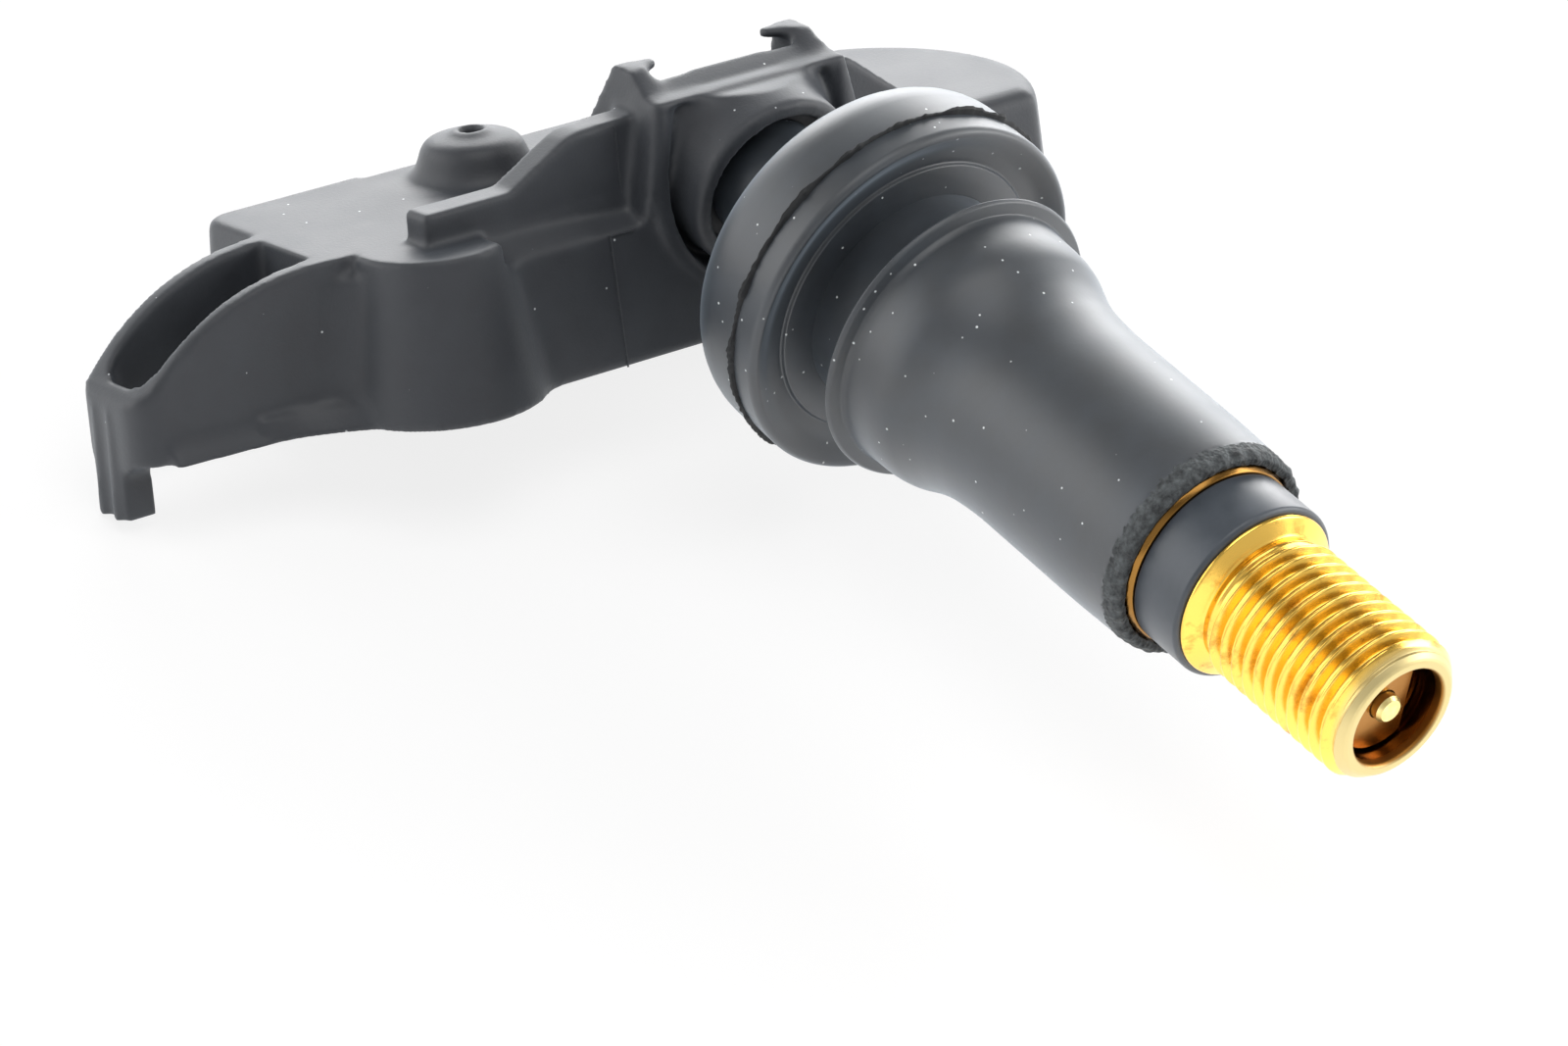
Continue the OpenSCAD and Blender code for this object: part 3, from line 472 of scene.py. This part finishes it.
def brass_stem(props):
    """The turned brass tube with its collar, cone, cap thread and threaded mouth."""
    pitch = props.pitch / MM
    depth = props.depth / MM
    root_r = THREAD_R - depth
    relief_r = THREAD_R - 0.38
    tip_r, tip_round = 3.24, 0.12
    cut_steps = 24
    mouth_r, mouth_floor = 2.62, TIP - 5.6
    mouth_pitch, mouth_depth = 0.705, 0.1
    bore_r, bore_end = 1.95, 22.45
    air_r, air_back = 1.2, -6.9
    screw_r, screw_end = 1.55, TUBE_BACK + 3.9
    line = rounded([
        (TUBE_BACK, screw_r, 0.1), (TUBE_BACK, TAIL_R, 0.15), (TAIL_TO, TAIL_R, 0), (TAIL_TO, TUBE_R, 0),
        (COLLAR_FROM, TUBE_R, 0),
        (COLLAR_FROM, COLLAR_R, 0), (SLEEVE_FROM - 0.3, COLLAR_R, 0.15),
        (SLEEVE_FROM - 0.02, COLLAR_R - 0.18, 0.15), (SLEEVE_FROM, SLEEVE_R + 0.02, 0.05),
        (SLEEVE_FROM, SLEEVE_R - 0.9, 0), (SLEEVE_TO, SLEEVE_R - 0.9, 0), (SLEEVE_TO, 4.3, 0),
        (SLEEVE_TO + 0.03, 4.42, 0.05), (SLEEVE_TO + 0.2, 4.4, 0.08),
        (SLEEVE_TO + 0.72, relief_r + 0.06, 0.2), (THREAD_FROM, relief_r, 0),
        (TIP - 0.85, THREAD_R, 0.1), (TIP - tip_round, tip_r, 0.14),
        (TIP, 3.08, 0.1), (TIP, mouth_r + 0.12, 0.06), (TIP - 0.16, mouth_r, 0.08),
        (mouth_floor, mouth_r, 0), (mouth_floor - 1, bore_r, 0), (bore_end, bore_r, 0),
        (bore_end, air_r, 0), (air_back, air_r, 0), (air_back, 0, 0), (screw_end, 0, 0),
        (screw_end, screw_r, 0)])
    line = dense(line, SLEEVE_TO + 0.2, TIP, pitch / cut_steps, (bore_r + mouth_r) / 2)

    def thread(station, radius, angle):
        turn = angle / (2 * math.pi)
        if radius > 3.2 and THREAD_FROM - 0.45 < station < TIP:
            start = ease(station, THREAD_FROM - 0.45, THREAD_FROM + 0.35)
            cone = tip_r + (TIP - tip_round - station) * 0.86
            height = ridge((station - THREAD_FROM) / pitch + turn)
            cut = root_r + depth * height * start + (relief_r - root_r) * (1 - start)
            radius = min(cut, cone)
        elif radius < mouth_r + 0.1 and mouth_floor < station < TIP - 0.2:
            start = ease(TIP - station, 1.0, 1.7)
            radius += mouth_depth * start * ridge((station - TIP) / mouth_pitch + turn)
        return station, radius

    bm = turned(line, props.around, thread)
    flat = (TAIL_R - 0.5) * MM
    for vert in bm.verts:
        if station_of(vert.co.y) < RUBBER_BACK:
            vert.co.z = min(vert.co.z, flat)
    stem = new_object("brass_stem", bm, turned_brass(props.colour), sharp=60)
    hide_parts("stem_tube")
    return stem


def rubber_line():
    """Outline of the rubber: bulb, neck, shoulder lip and barrel, then the bore."""
    back_r = TAIL_R + 0.5
    bulb_r, bulb_round = 9.8, 3.0
    round_at = bulb_r - bulb_round
    arc_mid = -1.7
    corners = [(RUBBER_BACK, TAIL_R, 0), (RUBBER_BACK, back_r, 0.1), (-5.7, back_r, 0.5),
               (-5.3, back_r + 0.4, 0.3), (-5.0, round_at, 0.4)]
    for step in range(1, 12):
        turn = math.radians(90 * step / 11)
        corners.append((arc_mid - bulb_round * math.cos(turn), round_at + bulb_round * math.sin(turn), 0))
    corners += [
        (-0.12, bulb_r, 0.05), (0.0, bulb_r - 0.07, 0.04), (1.42, bulb_r - 0.05, 0.2),
        (1.72, bulb_r - 0.32, 0.2), (1.5, 9.05, 0.3), (1.1, 8.4, 0.3), (0.94, 7.55, 0.1),
        (1.16, 7.46, 0.06), (NECK_FROM - 0.02, 6.7, 0.3), (NECK_FROM, NECK_R, 0),
        (4.3, NECK_R, 0.05), (4.84, 7.58, 0.15), (5.08, 7.88, 0.07),
        (5.3, 7.76, 0.08), (5.42, 7.18, 0.06), (5.7, 7.07, 0.15), (7.6, 7.0, 0.6), (8.4, 6.84, 0.4),
        (9.1, 6.54, 0.4), (10.0, 6.2, 0.5), (11.1, 5.95, 0.5), (13.0, 5.76, 0.9), (21.0, 5.75, 1.5),
        (23.6, 5.66, 0.3), (24.6, 5.6, 0.2), (RUBBER_END, 5.36, 0.1),
        (RUBBER_END - 0.12, COLLAR_R + 0.02, 0.05), (COLLAR_FROM, COLLAR_R, 0), (COLLAR_FROM, TUBE_R, 0),
        (TAIL_TO, TUBE_R, 0), (TAIL_TO, TAIL_R, 0)]
    return rounded(corners, 4)


def rubber_moulding(props):
    """The rubber in one moulding, with a rough cut at its outer end and the air hole behind it."""
    rough = props.rough / MM
    near_cut = 22.9
    line = dense(rubber_line(), near_cut, RUBBER_END + 1, 0.09)

    def cut_edge(angle):
        ragged = 0.24 * lumpy(angle, 0, 2.2, props.seed) + 0.3 * lumpy(angle, 0, 0.45, props.seed + 5)
        return RUBBER_END - 1.05 + ragged

    def crumble(station, radius, angle):
        if radius > COLLAR_R - 0.01 and station > near_cut:
            edge = cut_edge(angle)
            amount = ease(station, edge - 0.12, edge + 0.12)
            coarse = lumpy(angle, station, 0.75, props.seed + 3)
            fine = lumpy(angle, station, 0.24, props.seed + 11)
            radius += rough * amount * (0.75 * coarse + 0.55 * fine)
            if station > RUBBER_END - 0.5:
                station += rough * 0.8 * coarse
        return station, radius

    bm = turned(line, props.around, crumble)
    skin = vulcanised_rubber(props.colour)
    moulding = new_object("rubber_moulding", bm, skin, sharp=50)
    moulding.data.materials.append(torn_rubber())
    for face in moulding.data.polygons:
        middle = face.center
        edge = cut_edge(math.atan2(middle.z, middle.x))
        if station_of(middle.y) > edge and math.hypot(middle.x, middle.z) > (COLLAR_R + 0.01) * MM:
            face.material_index = 1
    drill_air_hole(moulding)
    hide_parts("rubber_body")
    return moulding


def drill_air_hole(piece):
    """Cuts the side hole that lets the air out of the tube."""
    station, radius = -6.3, 0.6
    bm = bmesh.new()
    bmesh.ops.create_cone(bm, cap_ends=True, segments=32, radius1=radius * MM, radius2=radius * MM,
                          depth=12 * MM)
    bm.transform(Matrix.Translation(on_stem(station, 0, -6)))
    mesh = bpy.data.meshes.new("air_drill")
    bm.to_mesh(mesh)
    bm.free()
    drill = bpy.data.objects.new("air_drill", mesh)
    bpy.context.scene.collection.objects.link(drill)
    cut = piece.modifiers.new("air_hole", "BOOLEAN")
    cut.object = drill
    cut.operation = "DIFFERENCE"
    cut.solver = "EXACT"
    bake_modifiers(piece)
    bpy.data.objects.remove(drill)


def bake_modifiers(piece):
    """Turns a piece's modifiers into mesh."""
    mesh = bpy.data.meshes.new_from_object(piece.evaluated_get(bpy.context.evaluated_depsgraph_get()))
    piece.modifiers.clear()
    piece.data = mesh


def bulb_flash(props):
    """Torn flash around the bulb, where the two halves of its tool met."""
    height = props.flash / MM
    base_r, crest, half_w = 9.72, 0.16, 0.07
    around = 720
    shift = random.Random(props.seed).random() * 50
    line = [Vector(p) for p in ((-half_w, base_r), (-half_w * 0.7, base_r + 0.12), (0, base_r + crest),
                                (half_w * 0.7, base_r + 0.12), (half_w, base_r))]

    def tear(station, radius, angle):
        torn = (max(lumpy(angle, 0, 1.7, shift), -0.1) + 0.7 * max(lumpy(angle, 0, 0.6, shift + 9), 0)
                + 0.35 * lumpy(angle, 0, 0.25, shift + 40))
        out = (radius - base_r) / crest
        wave = 0.1 * lumpy(angle, 0, 3.0, shift + 20) + 0.06 * lumpy(angle, 0, 0.7, shift + 30)
        return station * (1 + 1.6 * max(torn, 0)) + wave * out, radius + height * out * (0.25 + 1.1 * torn)

    # Painted shade: the flash is painted darker than the rubber it is torn from, partly for its rough torn
    # surface and partly for the shade the fin casts on itself
    torn_edge_and_shade = plain_finish("torn_flash_rubber_and_shade", "#0e0f11", "#1b1d20", 0.4, 0.65, depth=0.01)
    flash = new_object("bulb_flash", turned(line, around, tear), torn_edge_and_shade)
    return flash


def black_sleeve():
    """Sleeve beside the thread, with its two rims rounded."""
    inner = SLEEVE_R - 0.9
    line = rounded([
        (SLEEVE_FROM, inner, 0), (SLEEVE_FROM, SLEEVE_R - 0.1, 0.05), (SLEEVE_FROM + 0.1, SLEEVE_R, 0.08),
        (SLEEVE_TO - 0.14, SLEEVE_R, 0.1), (SLEEVE_TO, SLEEVE_R - 0.16, 0.08), (SLEEVE_TO, inner, 0)])
    satin = plain_finish("moulded_black_sleeve", "#3a4047", "#474d55", 2.2, 0.36, depth=0.002)
    sleeve = new_object("black_sleeve", turned(line, 144), satin, sharp=50)
    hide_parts("stem_sleeve")
    return sleeve


def loft(bm, low, high, z_low, z_high):
    """Closed solid between two outlines in plan with as many points each."""
    rings = [[bm.verts.new((x, y, z)) for x, y in outline] for outline, z in ((low, z_low), (high, z_high))]
    count = len(low)
    for k in range(count):
        after = (k + 1) % count
        bm.faces.new((rings[0][k], rings[0][after], rings[1][after], rings[1][k]))
    bm.faces.new(rings[0][::-1])
    bm.faces.new(rings[1])


def crescent(radius):
    """Outline in plan of the lobe's front wall, of this radius."""
    left, sweep, steps = 172, 161, 64
    turns = [math.radians(left + sweep * k / steps) for k in range(steps + 1)]
    ways = [Vector((math.cos(turn), math.sin(turn))) for turn in turns]
    inside = [tuple(LOBE + way * (radius - LOBE_WALL)) for way in reversed(ways)]
    return [tuple(LOBE + way * radius) for way in ways] + inside


def fillet(radius, wall_y, side):
    """Outline in plan of the fillet between the lobe, of this radius, and a wall on one side."""
    up = wall_y - FILLET_R - LOBE.y
    middle = LOBE + Vector((side * math.sqrt((radius + FILLET_R) ** 2 - up * up), up))
    on_lobe = (LOBE - middle).normalized()
    turn = on_lobe.angle_signed(Vector((0, 1)))
    steps, bury, lobe_bury = 16, 0.6, 1.2
    arc = []
    for k in range(steps + 1):
        way = on_lobe.copy()
        way.rotate(Matrix.Rotation(-turn * k / steps, 2))
        arc.append(tuple(middle + way * FILLET_R))
    inside = LOBE - on_lobe * (radius - lobe_bury)
    return arc + [(middle.x, wall_y + bury), (inside.x, wall_y + bury), tuple(inside)]


def remeshed(piece, voxel):
    """Gives a piece one even skin around all of its solids."""
    remesh = piece.modifiers.new("skin", "REMESH")
    remesh.mode = "VOXEL"
    remesh.voxel_size = voxel
    bake_modifiers(piece)


def front_solids(to_piece):
    """The lobe's full round, its fillets to the walls beside it, and the flare along its foot that
    runs out under the spring arm."""
    bm = bmesh.new()
    loft(bm, crescent(LOBE_R), crescent(LOBE_TOP_R), BASE, TOP)
    loft(bm, fillet(LOBE_R, WALL_FOOT_Y, 1), fillet(LOBE_TOP_R, WALL_EDGE_Y, 1), BASE, FILLET_TOP)
    loft(bm, fillet(LOBE_R, ARM_WALL_Y, -1), fillet(LOBE_TOP_R, ARM_WALL_Y, -1), BASE, ARM_FILLET_TOP)
    behind = [(FLARE[-1][0], FLARE_BACK_Y), (FLARE_END_X, FLARE_BACK_Y)]
    low = [(x, y) for x, y, _ in FLARE] + behind
    high = [(x, y) for x, _, y in FLARE] + behind
    loft(bm, low, high, BASE, FLARE_TOP)
    bmesh.ops.recalc_face_normals(bm, faces=bm.faces)
    bm.transform(to_piece)
    return bm


def ledge_height(place):
    """Height of the sloping ledge in front of the gusset at a place in the housing's axes, in mm."""
    foot = LEDGE_FOOT - LEDGE_FALL * ease(place.x, -13, -8)
    return LEDGE_EDGE + (foot - LEDGE_EDGE) * ramp(place.y, WALL_Y, GUSSET_Y)


def cut_ledge(piece, shift):
    """Brings the housing down to the sloping ledge. shift takes the housing's axes to the piece's."""
    for vert in piece.data.vertices:
        place = vert.co / MM - shift
        before_gusset = LEDGE_FROM_X < place.x < LEDGE_TO_X and place.y < GUSSET_Y - 0.05
        if before_gusset and place.z > ledge_height(place):
            vert.co.z = (ledge_height(place) + shift.z) * MM


def mould_lines(material):
    """Fine raised lines where the parts of the housing's tool met."""
    bm = bmesh.new()
    for start, end in MOULD_LINES:
        start, end = in_housing(*start), in_housing(*end)
        along = (end - start).normalized()
        turn = along.to_track_quat("Z", "Y").to_matrix().to_4x4()
        made = bmesh.ops.create_cone(bm, cap_ends=True, segments=12, radius1=MOULD_LINE_R * MM,
                                     radius2=MOULD_LINE_R * MM, depth=(end - start).length)
        bmesh.ops.transform(bm, verts=made["verts"], matrix=Matrix.Translation((start + end) / 2) @ turn)
    lines = new_object("mould_lines", bm, material, sharp=60)


def in_pocket(place):
    """How much a place in the housing's axes lies in the pocket between the bracket's frame and the
    stem's cup."""
    row = Matrix.Rotation(-TILT, 3, "X") @ place
    reach = math.hypot(row.x, row.z)
    return (ease(reach, 4.7, 5.2) * (1 - ease(reach, 6.6, 7.4)) * ease(place.y, 10.6, 11)
            * (1 - ease(place.y, 14, 15)))


def beside_lobe(place):
    """How much a place in the housing's axes lies on the lobe's sides, its fillets or the ledge."""
    near = 1 - ease((place.xy - LOBE).length, LOBE_R + 2.6, LOBE_R + 3.2)
    low = ease(place.z, BASE + 0.2, BASE + 1)
    return near * low * (1 - ease(place.z, 2.9, 3.7)) * (1 - ease(place.y, 14.8, 15.4)) * 0.9


def on_dome(place):
    """How much a place in the housing's axes lies on the dome over the pressure port, but not in the
    port."""
    reach = (place.xy - DOME).length
    return ease(reach, 0.9, 1.5) * (1 - ease(reach, 3.4, 4.2)) * ease(place.z, 3.6, 4.2) * 0.5


def soften(piece, shift):
    """Rounds a piece's edges a little, and its soft areas more."""
    edges = piece.modifiers.new("edges", "SMOOTH")
    edges.factor = 0.5
    edges.iterations = 6
    bake_modifiers(piece)
    soft_areas = piece.vertex_groups.new(name="soft_areas")
    for vert in piece.data.vertices:
        place = vert.co / MM - shift
        weight = max(in_pocket(place), beside_lobe(place), on_dome(place))
        if weight > 0:
            soft_areas.add([vert.index], weight, "REPLACE")
    blends = piece.modifiers.new("blends", "SMOOTH")
    blends.vertex_group = "soft_areas"
    blends.factor = 0.5
    blends.iterations = 30


def housing_moulding(props):
    """The housing as one moulding, with the small radii that a tool leaves on every edge."""
    level = Matrix.Rotation(TILT, 4, "X")
    shift = level @ Vector((0, SEAT, 0))
    mesh = frame["nodes"]["housing"].data.copy()
    mesh.transform(level)
    both = front_solids(Matrix.Translation(shift * MM) @ Matrix.Scale(MM, 4))
    both.from_mesh(mesh)
    both.to_mesh(mesh)
    both.free()
    piece = bpy.data.objects.new("housing_moulding", mesh)
    bpy.context.scene.collection.objects.link(piece)
    remeshed(piece, props.voxel)
    cut_ledge(piece, shift)
    remeshed(piece, props.voxel)
    soften(piece, shift)
    thin = piece.modifiers.new("thin", "DECIMATE")
    thin.ratio = props.keep
    bake_modifiers(piece)
    piece.data.transform(level.inverted())
    material = moulded_nylon(props.colour)
    piece.data.materials.clear()
    piece.data.materials.append(material)
    for face in piece.data.polygons:
        face.use_smooth = True
    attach(piece, BODY)
    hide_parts("housing")
    mould_lines(material)
    return piece


def node_finishes():
    """Materials of the nodes that keep their own shape."""
    tin = plain_finish("nickel_strip", "#b9b7ae", "#cfccc2", 1.2, 0.25, 1.0)
    chip = plain_finish("epoxy_chip_package", "#17181a", "#222326", 0.8, 0.5)
    zinc = plain_finish("zinc_plated_steel", "#9c9ea0", "#b7b9ba", 1.0, 0.28, 1.0)
    brass = turned_brass(bpy.context.scene.sensor_brass.colour)
    return {
        "potting": plain_finish("cast_potting_resin", "#0e0f10", "#191a1c", 4.0, 0.18, depth=0.01),
        "circuit_board": plain_finish("green_solder_mask", "#14522a", "#1c6435", 3.0, 0.25),
        "coin_cell": plain_finish("nickel_plated_can", "#a4a6a8", "#b6b8ba", 3.0, 0.22, 1.0),
        "cell_tab_top": tin, "cell_tab_bottom": tin, "radio_antenna": tin, "crystal": tin,
        "sensor_chip": chip, "radio_chip": chip,
        "port_gasket": plain_finish("red_silicone", "#8e2a20", "#a0362a", 1.0, 0.45),
        "port_filter": plain_finish("breathing_film", "#e6e6e2", "#f0f0ee", 0.3, 0.7),
        "wake_coil_core": plain_finish("sintered_ferrite", "#36373a", "#434447", 0.5, 0.6),
        "wake_coil_winding": plain_finish("lacquered_copper_wire", "#8c4a1e", "#a65d2a", 0.4, 0.3),
        "chip_capacitors": plain_finish("fired_ceramic", "#8f7a5a", "#a38d6b", 0.4, 0.45),
        "core_gasket": plain_finish("seal_plastic", "#cfcabd", "#dad6cb", 1.0, 0.45),
        "core_seal": plain_finish("black_nitrile", "#141414", "#1e1e1f", 0.6, 0.5),
        "core_spring": plain_finish("drawn_spring_wire", "#8e8f90", "#a5a6a7", 0.3, 0.3, 1.0),
        "mounting_screw": zinc, "screw_washer": zinc,
        "core_swivel": brass, "core_barrel": brass, "core_cup": brass,
        "core_pin": plain_finish("turned_pin_brass", "#ead999", "#dcc67c", 0.5, 0.34, 1.0, 0.001),
    }


# Studio

def camera(props):
    """Camera at the photograph's place, worked out from the stem's rings and the housing's edges."""
    place = Vector((-165.4, -176.8, 158.6)) * MM
    forward = Vector((0.5434, 0.6066, -0.5803)).normalized()
    right = forward.cross(Vector((0.259, 0.5364, 0.8032))).normalized()
    up = right.cross(forward)
    data = bpy.data.cameras.new("camera")
    data.lens = props.lens
    data.sensor_width = 36
    data.clip_start = 0.01
    data.clip_end = 20
    view = bpy.data.objects.new("camera", data)
    view.matrix_world = Matrix((
        (right.x, up.x, -forward.x, place.x), (right.y, up.y, -forward.y, place.y),
        (right.z, up.z, -forward.z, place.z), (0, 0, 0, 1)))
    bpy.context.scene.collection.objects.link(view)
    bpy.context.scene.camera = view


def soft_light(name, place, wide, high, power, target=(0, 0, 0)):
    """Soft light of wide by high metres that faces a target, by default the middle of the stem's neck."""
    data = bpy.data.lights.new(name, "AREA")
    data.shape = "RECTANGLE"
    data.size = wide
    data.size_y = high
    data.energy = power
    lamp = bpy.data.objects.new(name, data)
    lamp.location = place
    lamp.rotation_euler = (Vector(target) - Vector(place)).to_track_quat("-Z", "Y").to_euler()
    bpy.context.scene.collection.objects.link(lamp)


def white_world(strength):
    """Even light from all around, with a darker ceiling. The camera sees it white, and reflections
    see its walls white."""
    world = bpy.data.worlds.new("white_world")
    world.use_nodes = True
    tree = world.node_tree
    tree.nodes.clear()
    rays = add_node(tree, "ShaderNodeLightPath")
    seen = add_node(tree, "ShaderNodeMath", operation="MAXIMUM",
                    links={0: rays.outputs["Is Camera Ray"], 1: rays.outputs["Is Glossy Ray"]})
    seen = add_node(tree, "ShaderNodeMath", operation="MAXIMUM",
                    links={0: seen.outputs[0], 1: rays.outputs["Is Transmission Ray"]})
    level = span(tree, seen.outputs[0], 0, 1, strength, 1)
    way = add_node(tree, "ShaderNodeTexCoord").outputs["Generated"]
    rise = add_node(tree, "ShaderNodeSeparateXYZ", links={"Vector": way}).outputs["Z"]
    ceiling = span(tree, rise, 0.55, 0.8, 1, 0.25)
    shade = add_node(tree, "ShaderNodeMath", operation="MAXIMUM",
                     links={0: ceiling, 1: rays.outputs["Is Camera Ray"]})
    level = add_node(tree, "ShaderNodeMath", operation="MULTIPLY", links={0: level, 1: shade.outputs[0]})
    light = add_node(tree, "ShaderNodeBackground", links={"Strength": level.outputs[0]})
    add_node(tree, "ShaderNodeOutputWorld", links={"Surface": light.outputs[0]})
    bpy.context.scene.world = world


def pale_floor():
    """Matt white floor under the lowest point. The camera and reflections see it near white, and
    it keeps the shadow."""
    half = 3.0
    level = cad_box[0][2]
    mesh = bpy.data.meshes.new("floor")
    mesh.from_pydata([(-half, -half, level), (half, -half, level), (half, half, level),
                      (-half, half, level)], [], [(0, 1, 2, 3)])
    material, tree, _ = new_material("white_card")
    rays = add_node(tree, "ShaderNodeLightPath")
    seen = add_node(tree, "ShaderNodeMath", operation="MAXIMUM",
                    links={0: rays.outputs["Is Camera Ray"], 1: rays.outputs["Is Glossy Ray"]})
    tone = blend_colours(tree, rays.outputs["Is Camera Ray"], "#f6f6f6", "#777777")
    card = add_node(tree, "ShaderNodeBsdfDiffuse", links={"Color": tone})
    strength = span(tree, seen.outputs[0], 0, 1, 0, 0.82)
    glow = add_node(tree, "ShaderNodeEmission", links={"Strength": strength})
    finish(tree, add_node(tree, "ShaderNodeAddShader", links={0: card.outputs[0], 1: glow.outputs[0]}))
    mesh.materials.append(material)
    floor = bpy.data.objects.new("floor", mesh)
    bpy.context.scene.collection.objects.link(floor)


# Operators

class SENSOR_OT_housing(bpy.types.Operator):
    """Builds the moulded housing"""
    bl_idname = "sensor.housing"
    bl_label = "Housing"

    def execute(self, context):
        housing_moulding(context.scene.sensor_housing)
        return {"FINISHED"}


class SENSOR_OT_rubber(bpy.types.Operator):
    """Builds the rubber moulding and its flash"""
    bl_idname = "sensor.rubber"
    bl_label = "Rubber"

    def execute(self, context):
        rubber_moulding(context.scene.sensor_rubber)
        bulb_flash(context.scene.sensor_rubber)
        return {"FINISHED"}


class SENSOR_OT_brass(bpy.types.Operator):
    """Builds the threaded brass stem and its black sleeve"""
    bl_idname = "sensor.brass"
    bl_label = "Brass stem"

    def execute(self, context):
        brass_stem(context.scene.sensor_brass)
        black_sleeve()
        return {"FINISHED"}


class SENSOR_OT_finishes(bpy.types.Operator):
    """Gives the parts that keep their shape their materials"""
    bl_idname = "sensor.finishes"
    bl_label = "Inner parts"

    def execute(self, context):
        for node, material in node_finishes().items():
            mesh = frame["nodes"][node].data
            mesh.materials.clear()
            mesh.materials.append(material)
        return {"FINISHED"}


class SENSOR_OT_stage(bpy.types.Operator):
    """Sets up the floor, the lights and the camera"""
    bl_idname = "sensor.stage"
    bl_label = "Stage"

    def execute(self, context):
        props = context.scene.sensor_stage
        camera(props)
        white_world(props.world)
        pale_floor()
        soft_light("top_light", (-0.05, -0.1, 0.7), wide=0.6, high=0.5, power=props.key * 3)
        soft_light("back_light", (0.5, 0.62, 0.19), wide=0.9, high=0.42, power=props.key * 9,
                   target=(0, 0.01, 0))
        soft_light("left_light", (-0.6, 0.45, 0.22), wide=0.9, high=0.6, power=props.key * 4)
        soft_light("side_light", (0.6, -0.3, 0.3), wide=0.4, high=0.4, power=props.key * 4)
        context.scene.view_settings.view_transform = "Standard"
        return {"FINISHED"}


class SENSOR_PT_panel(bpy.types.Panel):
    bl_label = "Tyre pressure sensor"
    bl_idname = "SENSOR_PT_panel"
    bl_space_type = "VIEW_3D"
    bl_region_type = "UI"
    bl_category = "Sensor"

    def draw(self, context):
        for operator in OPERATORS:
            self.layout.operator(operator.bl_idname)


OPERATORS = (SENSOR_OT_housing, SENSOR_OT_rubber, SENSOR_OT_brass, SENSOR_OT_finishes, SENSOR_OT_stage)
GROUPS = {"sensor_brass": BrassProps, "sensor_rubber": RubberProps, "sensor_housing": HousingProps,
          "sensor_stage": StageProps}


def register():
    for group in GROUPS.values():
        bpy.utils.register_class(group)
    for name, group in GROUPS.items():
        setattr(bpy.types.Scene, name, PointerProperty(type=group))
    for item in OPERATORS + (SENSOR_PT_panel,):
        bpy.utils.register_class(item)


def unregister():
    for item in (SENSOR_PT_panel,) + OPERATORS:
        bpy.utils.unregister_class(item)
    for name, group in GROUPS.items():
        delattr(bpy.types.Scene, name)
        bpy.utils.unregister_class(group)


def main():
    register()
    bpy.ops.sensor.housing()
    bpy.ops.sensor.rubber()
    bpy.ops.sensor.brass()
    bpy.ops.sensor.finishes()
    bpy.ops.sensor.stage()


if __name__ == "__main__":
    main()
